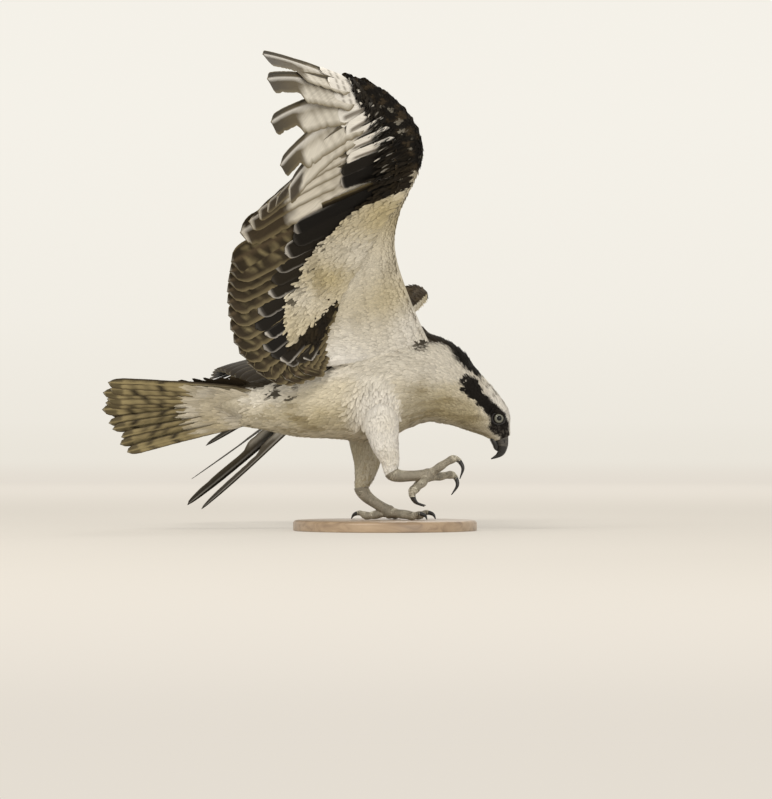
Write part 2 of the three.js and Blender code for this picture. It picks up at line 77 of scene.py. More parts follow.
class Limb:
    """Oval rings square to a centre line; sizes holds [up, down, side] half sizes."""

    def __init__(self, centre, sizes, side=(0, 1, 0)):
        self.line, self.size, self.side = curve(centre), curve(sizes), np.array(side, float)

    def tangent(self, t):
        t = np.asarray(t, float)
        return unit(self.line(np.minimum(1, t + 0.004)) - self.line(np.maximum(0, t - 0.004)))

    def frame(self, t):
        along = self.tangent(t)
        up = unit(np.cross(along, self.side))
        return along, up, unit(np.cross(up, along))

    def point(self, t, turn, grow=0.0):
        t, turn = np.broadcast_arrays(np.asarray(t, float), np.asarray(turn, float))
        along, up, across = self.frame(t)
        half = self.size(t)
        rise = np.sin(turn)
        height = np.where(rise > 0, half[..., 0], half[..., 1]) + grow
        return (
            self.line(t)
            + up * (rise * height)[..., None]
            + across * (np.cos(turn) * (half[..., 2] + grow))[..., None]
        )

    def rings(self, start, stop, rows, sides, grow=0.0):
        t = np.linspace(start, stop, rows)[:, None]
        turn = np.linspace(0, 2 * np.pi, sides, endpoint=False)[None, :]
        return self.point(t, turn, grow)


def grid_faces(rows, sides, closed=False):
    """Triangles between neighbouring rings; closed joins the last ring to the first."""
    r, k = np.meshgrid(np.arange(rows if closed else rows - 1), np.arange(sides), indexing="ij")
    this, following = r * sides, (r + 1) % rows * sides
    a, b = (this + k).ravel(), (this + (k + 1) % sides).ravel()
    c, d = (following + (k + 1) % sides).ravel(), (following + k).ravel()
    return np.vstack([np.stack([a, b, c], 1), np.stack([a, c, d], 1)])


def loft(rings):
    """Vertices and triangles of closed rings (rows, sides, 3) with a cap at each end."""
    rows, sides = rings.shape[:2]
    verts = np.vstack([rings.reshape(-1, 3), rings[0].mean(0), rings[-1].mean(0)])
    k = np.arange(sides)
    j = (k + 1) % sides
    end, low = (rows - 1) * sides, rows * sides
    first_cap = np.stack([np.full(sides, low), j, k], 1)
    last_cap = np.stack([np.full(sides, low + 1), end + k, end + j], 1)
    return verts, outward(verts, np.vstack([grid_faces(rows, sides), first_cap, last_cap]))


def joined(parts):
    """One set of vertices and triangles from several."""
    starts = np.cumsum([0] + [len(verts) for verts, _ in parts])
    tris = [tris + start for (_, tris), start in zip(parts, starts)]
    return np.vstack([verts for verts, _ in parts]), np.vstack(tris)


def outward(verts, tris):
    """Turns every triangle round if the closed surface is inside out."""
    a, b, c = (verts[tris[:, i]] for i in range(3))
    return tris[:, ::-1] if np.einsum("ij,ij->i", a, np.cross(b, c)).sum() < 0 else tris


# Meshes.


def mesh_object(name, verts, tris, material, tint=None, vane=None, bake=None, edge_class=None):
    mesh = bpy.data.meshes.new(name)
    mesh.vertices.add(len(verts))
    mesh.vertices.foreach_set("co", (np.asarray(verts) * MM).astype(np.float32).ravel())
    mesh.loops.add(3 * len(tris))
    mesh.loops.foreach_set("vertex_index", np.asarray(tris, np.int32).ravel())
    mesh.polygons.add(len(tris))
    mesh.polygons.foreach_set("loop_start", np.arange(0, 3 * len(tris), 3, dtype=np.int32))
    mesh.update(calc_edges=True)
    mesh.validate()
    mesh.shade_smooth()
    loops = np.empty(len(mesh.loops), np.int32)
    mesh.loops.foreach_get("vertex_index", loops)
    if tint is not None:
        paint(mesh, tint)
    for label, uv in (("OFBake", bake), ("Vane", vane)):
        if uv is not None:
            layer = mesh.uv_layers.new(name=label)
            layer.data.foreach_set("uv", np.asarray(uv, np.float32)[loops].ravel())
    if edge_class is not None:
        ends = np.empty(2 * len(mesh.edges), np.int32)
        mesh.edges.foreach_get("vertices", ends)
        a, b = edge_class[ends[0::2]], edge_class[ends[1::2]]
        sharp = mesh.attributes.new("sharp_edge", "BOOLEAN", "EDGE")
        sharp.data.foreach_set("value", ((a & b) > 0).ravel())
    obj = bpy.data.objects.new(name, mesh)
    bpy.context.collection.objects.link(obj)
    mesh.materials.append(material)
    return obj


def paint(mesh, tint):
    rgba = np.ones((len(mesh.vertices), 4), np.float32)
    rgba[:, :3] = tint
    layer = mesh.color_attributes.new(name="Tint", type="FLOAT_COLOR", domain="POINT")
    layer.data.foreach_set("color", rgba.ravel())


def finish_piece(obj, slot, *replaced):
    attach(obj, "root")
    if replaced:
        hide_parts(*replaced)
    return obj


# Materials.


class Shader:
    """A principled material, with short ways to add textures to it."""

    def __init__(self, name, roughness, **sockets):
        self.material = bpy.data.materials.new(name)
        self.material.use_nodes = True
        self.tree = self.material.node_tree
        self.surface = self.tree.nodes["Principled BSDF"]
        self.settle(self.surface, Roughness=roughness, **sockets)

    def settle(self, node, **settings):
        """Sets a node's own properties, and the values of its sockets."""
        for key, value in settings.items():
            if hasattr(node, key):
                setattr(node, key, value)
            else:
                node.inputs[key.replace("_", " ")].default_value = value

    def link(self, source, target):
        self.tree.links.new(source, target)

    def add(self, kind, source=None, **settings):
        node = self.tree.nodes.new("ShaderNode" + kind)
        self.settle(node, **settings)
        if source:
            self.link(source, node.inputs[0])
        return node

    def place(self, scale=None):
        """Each point's own place, stretched where a scale is given."""
        where = self.add("TexCoord").outputs["Object"]
        return self.add("Mapping", where, Scale=scale).outputs[0] if scale else where

    def tint(self):
        return self.add("Attribute", attribute_name="Tint").outputs["Color"]

    def noise(self, source, **settings):
        return self.add("TexNoise", source, **settings).outputs["Fac"]

    def ramp(self, source, stops, **settings):
        node = self.add("ValToRGB", source)
        while len(node.color_ramp.elements) < len(stops):
            node.color_ramp.elements.new(0.5)
        for element, (pos, value) in zip(node.color_ramp.elements, stops):
            element.position = pos
            element.color = (*value, 1) if isinstance(value, tuple) else (value, value, value, 1)
        for key, value in settings.items():
            setattr(node.color_ramp, key, value)
        return node.outputs[0]

    def times(self, colour, tone):
        node = self.add("Mix", data_type="RGBA", blend_type="MULTIPLY", Factor=1)
        self.link(colour, node.inputs[6])
        self.link(tone, node.inputs[7])
        return node.outputs[2]

    def finish(self, colour, height=None, strength=0.0, distance=0.0):
        """Links the base colour, and a bump where a height is given. Returns the material."""
        self.link(colour, self.surface.inputs["Base Color"])
        if height:
            bump = self.add("Bump", Strength=strength, Distance=distance)
            self.link(height, bump.inputs["Height"])
            self.link(bump.outputs[0], self.surface.inputs["Normal"])
        return self.material


def plumage(name, grain, contrast, roughness, slant=0.0):
    """Feather: the painted tint, streaked along the barbs, with a soft silky sheen."""
    mat = Shader(name, roughness, Sheen_Weight=0.04, Sheen_Roughness=0.5, Specular_IOR_Level=0.12)
    vane = mat.add("SeparateXYZ", mat.add("UVMap", uv_map="Vane").outputs["UV"])
    side = mat.add("Math", vane.outputs["X"], operation="ABSOLUTE")
    lean = mat.add("Math", side.outputs[0], operation="MULTIPLY_ADD")
    lean.inputs[1].default_value = -slant
    mat.link(vane.outputs["Y"], lean.inputs[2])
    barb = mat.add("CombineXYZ", vane.outputs["X"])
    mat.link(lean.outputs[0], barb.inputs[1])
    scaled = mat.add("Mapping", barb.outputs[0], Scale=(*grain, 1))
    noise = mat.noise(scaled.outputs[0], Scale=1.0, Detail=3.0, Roughness=0.6)
    tone = mat.ramp(noise, [(0.3, 1 - contrast), (0.7, 1 + contrast * 0.4)])
    return mat.finish(mat.times(mat.tint(), tone), noise, 0.35, 0.0004)


def down_material():
    """The skin under the feathers, tinted as they are, with a fine downy grain."""
    mat = Shader("downy_skin", 0.9, Specular_IOR_Level=0.15)
    noise = mat.noise(mat.place(), Scale=420.0, Detail=4.0)
    tone = mat.ramp(noise, [(0.3, 0.8), (0.7, 1.0)])
    return mat.finish(mat.times(mat.tint(), tone), noise, 0.5, 0.0006)


def horn_material(name, dark, pale, roughness):
    """Horn or bare skin, mottled from dark to pale along its length."""
    mat = Shader(name, roughness, Coat_Weight=0.06, Coat_Roughness=0.2)
    noise = mat.noise(mat.place((90, 90, 260)), Scale=1.0, Detail=5.0, Roughness=0.65)
    return mat.finish(mat.ramp(noise, [(0.3, dark), (0.75, pale)]), noise, 0.25, 0.0004)


def scale_material():
    """Grey scaly skin of the feet, darker in the creases between small plates."""
    mat = Shader("scaly_skin", 0.62)
    where = mat.place()
    cells = mat.add("TexVoronoi", where, Scale=520.0, feature="DISTANCE_TO_EDGE").outputs["Distance"]
    creases = [(0.0, (0.10, 0.085, 0.06)), (0.09, (0.28, 0.25, 0.19)), (0.5, (0.42, 0.38, 0.30))]
    patches = mat.noise(where, Scale=60.0, Detail=3.0)
    shade = mat.ramp(patches, [(0.3, 0.72), (0.7, 1.0)])
    return mat.finish(mat.times(mat.ramp(cells, creases), shade), cells, 0.7, 0.0008)


def eye_material():
    """Wet eye painted by its tint: black pupil, streaked pale iris, dark rim."""
    mat = Shader("eye", 0.05, Specular_IOR_Level=0.2)
    return mat.finish(mat.tint())


def wood_material():
    """Oiled oak with its grain along the base."""
    mat = Shader("oak", 0.42, Coat_Weight=0.2, Coat_Roughness=0.3)
    grain = mat.noise(mat.place((3.0, 26, 26)), Scale=2.2, Detail=8.0, Roughness=0.6, Distortion=0.8)
    tones = [(0.3, (0.17, 0.115, 0.07)), (0.5, (0.33, 0.235, 0.15)), (0.72, (0.43, 0.32, 0.21))]
    return mat.finish(mat.ramp(grain, tones), grain, 0.2, 0.0006)


DOWN = down_material()
SOFT = plumage("contour_feathers", (6.0, 1.6), 0.30, 0.8)
FLIGHT = plumage("flight_feathers", (1.2, 70.0), 0.22, 0.6, slant=0.35)
HORN = horn_material("horn", (0.004, 0.004, 0.004), (0.022, 0.020, 0.018), 0.32)
CERE = horn_material("cere", (0.010, 0.009, 0.008), (0.12, 0.11, 0.095), 0.55)
LID = horn_material("lid_skin", (0.004, 0.003, 0.003), (0.020, 0.017, 0.014), 0.7)
SCALES = scale_material()
EYE_MATERIAL = eye_material()
PLATES = plumage("foot_plates", (2.0, 2.0), 0.30, 0.55)
OAK = wood_material()

# The bird's named sizes, as in its solids.

BODY = Limb(
    [
        [-190, 0, 172], [-160, 0, 173], [-122, 0, 175], [-84, 0, 179], [-46, 0, 186], [-8, 0, 195],
        [26, 0, 203], [54, 0, 203], [79, 0, 196], [101, 0, 184], [119, 0, 171], [135, 0, 157],
        [147, 0, 144], [155, 0, 132],
        [158, 0, 124],
    ],
    [
        [32, 34, 25], [37, 40, 34], [44, 50, 45], [51, 57, 54], [57, 66, 61], [63, 69, 64], [70, 66, 63],
        [67, 62, 58], [58, 55, 51], [44, 47, 44], [37, 38, 37], [33, 30, 31], [28, 22, 24.5],
        [17, 15, 17], [12.5, 11, 13],
    ],
)
LEG_SIZES = [
    [32, 34, 27], [26, 27, 24], [20, 21, 19], [15, 15, 14], [10.5, 10.5, 10.5], [8.4, 8.4, 8], [7.2, 7.2, 7],
    [8.5, 8, 8.5],
]
LEGS = {
    "right": Limb(
        [
            [-9, -30, 190], [-5, -40, 150], [0, -44, 120], [6, -45, 98], [9, -46, 80], [19, -47, 75],
            [38, -48, 75], [58, -49, 76],
        ],
        LEG_SIZES,
    ),
    "left": Limb(
        [
            [-26, 30, 172], [-25, 28, 130], [-24, 25, 98], [-28, 22, 74], [-32, 20, 58], [-25, 19, 46],
            [-10, 17, 35], [6, 15, 25],
        ],
        LEG_SIZES,
    ),
}
HEEL, TOE_SHARE = 4.35 / 7, 0.62
TOES = {
    "right": [
        [[58, -49, 76], [74, -53, 87], [90, -56, 97], [98, -57, 97], [105, -58, 86], [101, -57, 71]],
        [[58, -47, 74], [74, -36, 74], [88, -30, 76], [95, -28, 73], [98, -29, 62], [90, -31, 49]],
        [[56, -50, 74], [51, -64, 66], [42, -74, 58], [38, -76, 50], [42, -75, 40], [53, -71, 34]],
        [[54, -46, 74], [46, -42, 64], [38, -42, 56], [36, -43, 49], [42, -45, 39], [55, -46, 35]],
    ],
    "left": [
        [[6, 15, 25], [26, 13, 22], [46, 10, 20], [56, 9, 24], [65, 8, 22], [69, 7, 15.6]],
        [[6, 14, 25], [22, 0, 22], [37, -11, 19.5], [46, -18, 23], [54, -23, 21], [57, -26, 15.6]],
        [[4, 17, 25], [8, 36, 22], [14, 52, 19.5], [17, 62, 23], [20, 69, 21], [21, 73, 15.6]],
        [[4, 15, 25], [-12, 20, 21], [-25, 24, 19.5], [-34, 27, 23], [-42, 30, 21], [-46, 31, 15.6]],
    ],
}
TOE_SIZES = [[7, 7, 7], [5.6, 5.4, 5.6], [5.4, 5.2, 5.2], [3.6, 3.4, 3.2], [2.4, 2.3, 2.2], [0.6, 0.6, 0.6]]
EYE_AT = np.array([153.0, 15.5, 152.5])
EYE_RADIUS = 9.5
EYE_CLEAR = 10.2
LID_RING, LID_THICK = 0.90 * EYE_RADIUS, 1.5
BASE_RADIUS, BASE_TOP = 125.0, 14.0
SOLE = BASE_TOP + 0.3
SKIN_VOXEL, FOOT_VOXEL = 2.0, 0.8
FRAY = 0.05

WRIST = 4 / 6
WINGS = {
    "right": dict(
        hand=-1,
        lead=[
            [66, -22, 242], [37, -45, 306], [14, -62, 377], [20, -78, 430], [51, -100, 515], [13, -140, 580],
            [-53, -190, 611],
        ],
        root=[
            [-84, -44, 222], [-84, -54, 280], [-67, -64, 323], [-27, -82, 399], [20, -104, 482],
            [-7, -140, 552], [-50, -190, 601],
        ],
        secondaries=[
            [-108, -64, 212], [-157, -76, 205], [-200, -88, 247], [-212, -100, 312], [-206, -122, 362],
        ],
        primaries=[
            [-193, -155, 400], [-181, -190, 414], [-168, -230, 426], [-154, -275, 435], [-140, -325, 442],
            [-125, -375, 450], [-134, -425, 477], [-145, -470, 530], [-149, -498, 583], [-155, -490, 615],
        ],
        rolls=[0.22, 0.22, 0.22, 0.22],
    ),
    "left": dict(
        hand=1,
        lead=[
            [70, 30, 250], [60, 90, 268], [44, 150, 282], [34, 215, 300], [60, 290, 330], [20, 345, 332],
            [-56, 388, 226],
        ],
        root=[
            [-84, 42, 196], [-74, 85, 216], [-52, 125, 238], [-14, 205, 268], [24, 288, 302], [-6, 338, 280],
            [-70, 376, 204],
        ],
        secondaries=[
            [-176, 66, 190], [-207, 120, 212], [-233, 190, 222], [-246, 260, 212], [-254, 316, 190],
        ],
        primaries=[
            [-259, 340, 176], [-259, 352, 168], [-258, 364, 160], [-257, 376, 152], [-256, 388, 144],
            [-254, 397, 134], [-258, 404, 112], [-279, 424, 64], [-286, 442, 26], [-266, 452, 20],
        ],
        rolls=[0.9, 1.1, 0.62, 0.62],
    ),
}
WING_FLESH = [26, 20, 14, 11, 10, 7, 3.5]
SECONDARIES, PRIMARIES, TAIL_FEATHERS = 16, 10, 12
QUILLS = SECONDARIES + PRIMARIES
FIRST_FINGER = 6

# Colours.

WHITE = np.array([0.82, 0.79, 0.735])
BUFF = np.array([0.52, 0.43, 0.225])
OLIVE = np.array([0.22, 0.17, 0.075])
CREAM = WHITE * 0.75 + BUFF * 0.25
UMBER = np.array([0.095, 0.068, 0.038])
BROWN = np.array([0.028, 0.020, 0.010])
BLACK = np.array([0.010, 0.008, 0.006])
IRIS = np.array([0.20, 0.20, 0.165])
IRIS_EDGE = np.array([0.05, 0.045, 0.03])
PUPIL = np.array([0.004, 0.004, 0.004])
EYE_RIM = np.array([0.008, 0.007, 0.006])
SCALE_GREY = np.array([0.60, 0.565, 0.46])
SCALE_DARK = np.array([0.25, 0.21, 0.15])


def blend(a, b, share):
    share = np.clip(np.asarray(share, float), 0, 1)[..., None]
    return a * (1 - share) + b * share


def smooth(low, high, x):
    t = np.clip((np.asarray(x, float) - low) / (high - low), 0, 1)
    return t * t * (3 - 2 * t)


def ripple(p, size, seed=0.0):
    """A smooth pseudo-random value from -1 to 1 over space, repeated the same in each run."""
    q = np.asarray(p, float) / size + seed
    return (
        np.sin(q[..., 0] * 1.7 + 1.3 * np.sin(q[..., 1] * 1.1 + seed))
        + np.sin(q[..., 1] * 1.9 + 1.7 * np.sin(q[..., 2] * 1.3))
        + np.sin(q[..., 2] * 1.6 + 1.1 * np.sin(q[..., 0] * 0.9 + 2.1))
    ) / 3


STRIPE = np.array([[160, 133], [154.5, 142], [153, 153], [144, 166], [132, 179], [120, 192], [115, 200]])
STRIPE_HALF = np.array([8.0, 13.5, 12.5, 8.0, 8.5, 12.0, 7.5])


def near_stripe(x, z):
    """Distance inside (negative) or outside the dark stripe through the eye, on the head's side."""
    best = np.full(np.shape(x), 1e9)
    for a, b, ha, hb in zip(STRIPE[:-1], STRIPE[1:], STRIPE_HALF[:-1], STRIPE_HALF[1:]):
        d = b - a
        t = np.clip(((x - a[0]) * d[0] + (z - a[1]) * d[1]) / (d @ d), 0, 1)
        dist = np.hypot(x - a[0] - t * d[0], z - a[1] - t * d[1])
        best = np.minimum(best, dist - (ha + (hb - ha) * t))
    return best


def near_thigh(p):
    """1 on the flank where the near thigh leaves the trunk, falling to 0 around it."""
    return smooth(46, 20, np.hypot(p[..., 0] + 8, (p[..., 2] - 172) * 0.85)) * smooth(0, -20, p[..., 1])


def body_ground(p, t, turn, wobble):
    """White, clouded and streaked along the body, with painted shade underneath: buff, olive streaks and
    darker below.
    """
    # low: 1 on the underside, where the painted shade below gathers.
    low = smooth(0.25, -0.8, np.sin(turn) + 0.18 * wobble)
    streak = 0.5 + 0.5 * ripple(p * [0.22, 1, 1], 4.5, 6.0)
    cloud = smooth(0.0, 0.8, ripple(p * [0.6, 1, 1], 30.0, 3.0))
    breast = smooth(0.42, 0.52, t) * smooth(0.7, 0.6, t)
    # Painted shade: buff over the white underneath, on top of the random cloudy buff.
    tint = blend(WHITE, BUFF, 0.27 + 0.28 * cloud + 0.33 * low)
    # Painted shade: darker underneath; the breast band is also a little darker all round.
    tint = tint * (1 - 0.16 * smooth(0.3, -0.6, np.sin(turn)) - 0.10 * breast)[..., None]
    # Olive streaks, much stronger underneath as painted shade.
    tint = blend(tint, OLIVE, (0.20 + 0.70 * low) * smooth(0.35, 0.95, streak) * (0.65 + 0.35 * cloud))
    tint = blend(tint, WHITE, 0.8 * smooth(0.70, 0.78, t) * smooth(-0.2, 0.5, np.sin(turn)))
    # Dusky streaks under the neck: partly real streaking, partly painted shade.
    throat = smooth(0.60, 0.74, t) * smooth(0.3, -0.3, np.sin(turn))
    tint = blend(tint, UMBER, 0.35 * throat * smooth(0.25, 0.8, ripple(p * [0.3, 1, 1], 2.2, 5.0)))
    return blend(tint, WHITE, 0.8 * near_thigh(p))


def back_marks(tint, p, t, away, wobble):
    """Adds the dark back, the torn patch by the tail and the spot on the shoulder."""
    x, y, z = p[..., 0], p[..., 1], p[..., 2]
    half = 1.20 - 0.52 * smooth(0.46, 0.56, t) - 0.14 * smooth(0.62, 0.70, t) + 0.12 * wobble
    mantle = smooth(0.10, -0.08, away - half) * smooth(0.715, 0.68, t + 0.01 * wobble)
    tint = blend(tint, blend(BROWN, BLACK, smooth(0.5, 0.6, t)), mantle)
    torn = smooth(0.0, 0.3, ripple(p * [0.35, 1, 0.8], 3.6, 3.0))
    patch = torn * smooth(30, 14, np.abs(x + 130)) * smooth(24, 12, np.abs(z - 190 + 0.25 * (x + 130)))
    tint = blend(tint, BROWN, 0.9 * patch * (y < 0))
    spot = smooth(8, 5, np.hypot(x - 57, (z - 250) * 0.8) + 1.5 * wobble) * (y < 0)
    return blend(tint, BROWN, 0.85 * spot)


def head_marks(tint, p, t, away, wobble):
    """Adds the stripe through the eye, mottled in front of it, and the flecks on the crown."""
    x, y, z = p[..., 0], p[..., 1], p[..., 2]
    edge = near_stripe(x, z) + 2.0 * wobble + 2.0 * ripple(p, 2.6, 5.0)
    stripe = smooth(1.2, -1.2, edge) * smooth(6, 10, np.abs(y) + 6 * smooth(0.93, 0.97, t))
    mottle = smooth(0.0, 0.7, ripple(p, 1.3, 3.0)) * smooth(146, 134, z)
    dark = blend(BLACK, blend(UMBER, WHITE, 0.25), 0.4 * mottle)
    tint = blend(tint, dark, stripe * smooth(0.60, 0.64, t))
    fleck = smooth(0.15, 0.5, ripple(p, 2.4, 8.0)) * smooth(1.1, 0.5, away)
    tint = blend(tint, UMBER, 0.75 * fleck * smooth(0.69, 0.72, t) * smooth(0.80, 0.76, t))
    rim = smooth(0.45, 0.15, away) * smooth(0.74, 0.80, t) * smooth(-0.4, 0.3, ripple(p, 3.0, 2.0))
    return blend(tint, UMBER, 0.55 * rim)


def body_tint(p, t, turn):
    """Colour of the trunk, neck and head at points p, at ring share t and angle turn."""
    wobble = ripple(p, 9.0)
    dorsal = np.radians(61 + 29 * smooth(0.45, 0.62, t))
    away = np.abs((turn - dorsal + np.pi) % (2 * np.pi) - np.pi)
    tint = back_marks(body_ground(p, t, turn, wobble), p, t, away, wobble)
    return head_marks(tint, p, t, away, wobble)


# Wings: surfaces and quills.


class Wing:
    """A wing's flesh between a front and a rear edge, and the quills of its flight feathers."""

    SECTION = np.array([[0, 0.35], [0.12, 0.95], [0.4, 1], [0.75, 0.6], [1, 0.16]])

    def __init__(self, hand, lead, root, secondaries, primaries, rolls):
        self.hand = hand
        self.front = curve(lead)
        self.rear = curve(root)
        arm = self.rear(np.linspace(0.14, WRIST - 0.035, SECONDARIES))
        palm = self.rear(np.linspace(WRIST + 0.03, 0.985, PRIMARIES))
        self.aim(np.vstack([arm, palm]), np.vstack([
            curve(secondaries)(np.linspace(0, 1, SECONDARIES)), curve(primaries)(np.linspace(0, 1, PRIMARIES))
        ]))
        primary = np.arange(QUILLS) - SECONDARIES
        self.bow = np.where(primary < 0, 7.0, 10.0)
        self.sweep = np.where(primary < 0, 0.0, 2 + 9 * (primary / (PRIMARIES - 1)) ** 2)
        self.roll = np.where(primary < 0, 0.15, 0.22)
        self.roll[-len(rolls) :] = rolls

    def aim(self, roots, tips):
        """Sets each quill's root, tip and the directions along it, across it and to its upper side."""
        self.tips = tips
        self.along = unit(tips - roots)
        middle = roots + 0.6 * (tips - roots)
        order = np.arange(QUILLS)
        behind = middle[np.maximum(0, order - 1)] - middle[np.minimum(QUILLS - 1, order + 1)]
        self.inner = unit(behind - self.along * np.einsum("ij,ij->i", behind, self.along)[:, None])
        self.top = unit(np.cross(self.inner, self.along)) * -self.hand
        self.roots = roots - self.along * 6

    def between(self, i, w):
        """Directions across and to the upper side, a share w of the way from quill i to the next."""
        inner = unit(self.inner[i] * (1 - w) + self.inner[i + 1] * w)
        return inner, unit(self.top[i] * (1 - w) + self.top[i + 1] * w)

    def quill(self, i, t):
        t = np.asarray(t, float)[..., None]
        straight = self.roots[i] + (self.tips[i] - self.roots[i]) * t
        return straight + (self.top[i] * self.bow[i] - self.inner[i] * self.sweep[i]) * (4 * t * (1 - t))

    def top_at(self, t):
        t = np.asarray(t, float)
        span = self.rear(np.minimum(1, t + 0.01)) - self.rear(np.maximum(0, t - 0.01))
        return unit(np.cross(self.rear(t) - self.front(t), span)) * -self.hand

    def flesh(self, t):
        return np.interp(t, np.linspace(0, 1, 7), WING_FLESH)

    def surface(self, t, s, face, grow=0.0):
        t, s = np.broadcast_arrays(np.asarray(t, float), np.asarray(s, float))
        a, b = self.front(t), self.rear(t)
        high = np.interp(s, self.SECTION[:, 0], self.SECTION[:, 1]) * self.flesh(t)
        high = np.maximum(high * (1.0 if face > 0 else 0.7) + grow, 1.2) * face
        return a + (b - a) * s[..., None] + self.top_at(t) * high[..., None]

    def rings(self, rows, grow):
        t = np.linspace(0, 1, rows)[:, None]
        s = (1 - np.cos(np.linspace(0, np.pi, 12))) / 2
        upper = self.surface(t, s[None, :], 1, grow)
        lower = self.surface(t, s[None, ::-1], -1, grow)
        return np.concatenate([upper, lower], 1)


wings = {side: Wing(**spec) for side, spec in WINGS.items()}

# One skin.


def coat_depth(t):
    """How far the trunk's skin lies inside its solids: deep under long feathers, shallow on the face."""
    return np.interp(t, [0, 0.5, 0.66, 0.75, 0.9, 1], [3.4, 3.2, 2.0, 0.6, -0.2, -0.2])


def melt(obj, voxel, iterations):
    """Joins overlapping closed surfaces into one and smooths it."""
    for kind, settings in (
        ("REMESH", dict(mode="VOXEL", voxel_size=voxel * MM, use_smooth_shade=True)),
        ("SMOOTH", dict(factor=0.5, iterations=iterations)),
    ):
        modifier = obj.modifiers.new(kind.lower(), kind)
        for key, value in settings.items():
            setattr(modifier, key, value)
    bpy.context.view_layer.objects.active = obj
    for modifier in list(obj.modifiers):
        bpy.ops.object.modifier_apply(modifier=modifier.name)


def skin():
    """Lofts of trunk, thighs and wing flesh, melted into one surface inside the coat."""
    shares = np.linspace(0, 0.995, 110)[:, None]
    turns = np.linspace(0, 2 * np.pi, 56, endpoint=False)[None, :]
    parts = [loft(BODY.point(shares, turns, -coat_depth(shares)))]
    parts += [loft(leg.rings(0.0, HEEL + 0.02, 40, 28, -1.5)) for leg in LEGS.values()]
    parts += [loft(wing.rings(60, -1.0)) for wing in wings.values()]
    parts.append(loft(TAIL_STUMP.rings(0, 0.9, 10, 24, -2.0)))
    obj = mesh_object("skin", *joined(parts), DOWN)
    melt(obj, SKIN_VOXEL, 2)
    return obj


TAIL_STUMP = Limb([[-178, 0, 173], [-202, 0, 173], [-228, 0, 170]], [[30, 32, 27], [23, 25, 24], [5, 7, 13]])
hide = skin()


def eye_axes(side):
    """The eye's line of sight on one side of the head, and two directions across it."""
    outer = unit([0.22, side, 0.03])
    x = unit(np.cross(outer, [0, 0, 1]))
    return outer, x, np.cross(x, outer)


def press_sockets():
    """Presses a shallow socket into the skin round each eye."""
    for vertex in hide.data.vertices:
        p = np.array(vertex.co) / MM
        if abs(p[0] - EYE_AT[0]) > 16 or abs(p[2] - EYE_AT[2]) > 16:
            continue
        side = 1 if p[1] > 0 else -1
        outer = eye_axes(side)[0]
        away = p - EYE_AT * [1, side, 1]
        high = away @ outer
        wide = np.linalg.norm(away - high * outer)
        limit = np.interp(wide, [0, 8.5, 14], [2.5, 3.6, 9.0])
        if 0 < high and limit < high and wide < 14:
            vertex.co = (p + outer * (limit - high)) * MM


press_sockets()
painted_places, painted_tints = [], []
tree = BVHTree.FromObject(hide, bpy.context.evaluated_depsgraph_get())


def on_skin(points, slack=3.0):
    """Snaps points to the skin. Returns places, normals and which points are worth keeping."""
    places, normals = np.empty((len(points), 3)), np.empty((len(points), 3))
    keep = np.zeros(len(points), bool)
    for i, p in enumerate(points * MM):
        hit, normal, _, distance = tree.find_nearest(p)
        places[i] = np.array(hit) / MM
        normals[i] = normal
        deep = (np.array(p) - np.array(hit)) @ np.array(normal) / MM
        keep[i] = distance / MM < 14 and deep > -slack
    return places, normals, keep


# Small feathers.

TUFT_X = np.array([0.0, 0.30, 0.68, 0.92, 1.0])
TUFT_W = np.array([0.0, 0.80, 1.0, 0.62, 0.0])


def tufts(
    name, roots, normals, dirs, length, width, lift, tint, bake, cup=0.12, thick=0.10,
    slot="white_plumage", material=SOFT, curl=0.10,
):
    """One mesh of closed, three-sided vanes. length, width and lift are in mm, one for each vane."""
    n = len(roots)
    ones = np.ones(n)
    length, width, lift = length * ones, width * ones, lift * ones
    dirs = unit(dirs - normals * np.einsum("ij,ij->i", dirs, normals)[:, None])
    side = np.cross(normals, dirs)
    bend = side * (curl * length * rng.standard_normal(n))[:, None]
    painted_places.append(roots)
    painted_tints.append(tint)
    verts = np.empty((n, 11, 3))
    vane = np.empty((n, 11, 2))
    shade = np.empty((n, 11))

    def spot(x, w):
        rise = -0.5 + lift * (0.25 * np.sqrt(x) + 0.75 * x**2) - cup * np.abs(w) * width
        flat = roots + dirs * ((x - 0.12) * length)[:, None] + side * (w * width)[:, None] + bend * x**2
        return flat + normals * rise[:, None]

    verts[:, 0] = spot(0.0, 0.0)
    verts[:, 10] = spot(1.0, 0.0)
    vane[:, 0], vane[:, 10] = (0, 0), (0, 1)
    shade[:, 0], shade[:, 10] = 0.72, 1.0
    for k, (x, w) in enumerate(zip(TUFT_X[1:4], TUFT_W[1:4])):
        for j, where in enumerate((-w, 0.0, w)):
            verts[:, 1 + 3 * k + j] = spot(x, where)
            vane[:, 1 + 3 * k + j] = (where, x)
            shade[:, 1 + 3 * k + j] = 0.78 + 0.22 * x
        verts[:, 2 + 3 * k] += normals * (thick * width)[:, None]
    faces = [[0, 2, 1], [0, 3, 2], [0, 1, 3], [7, 8, 10], [8, 9, 10], [9, 7, 10]]
    for k in (0, 1):
        a = 1 + 3 * k
        for i, j in ((0, 1), (1, 2), (2, 0)):
            faces += [[a + i, a + j, a + 3 + j], [a + i, a + 3 + j, a + 3 + i]]
    faces = np.array(faces)
    tris = (faces[None] + 11 * np.arange(n)[:, None, None]).reshape(-1, 3)
    kinds = np.array([3, 1, 0, 2, 1, 0, 2, 1, 0, 2, 3])
    colour = tint[:, None, :] * shade[..., None]
    patch = bake[:, None, :] + (vane - [0, 0.5]) * [0.0013, 0.0026]
    if (outward(verts[0], faces) != faces).any():
        tris = tris[:, ::-1]
    grain = vane.reshape(-1, 2) + np.repeat(roots[:, :2], 11, 0) * 0.37
    obj = mesh_object(
        name, verts.reshape(-1, 3), tris, material, colour.reshape(-1, 3), grain, patch.reshape(-1, 2),
        np.tile(kinds, n),
    )
    return finish_piece(obj, slot)


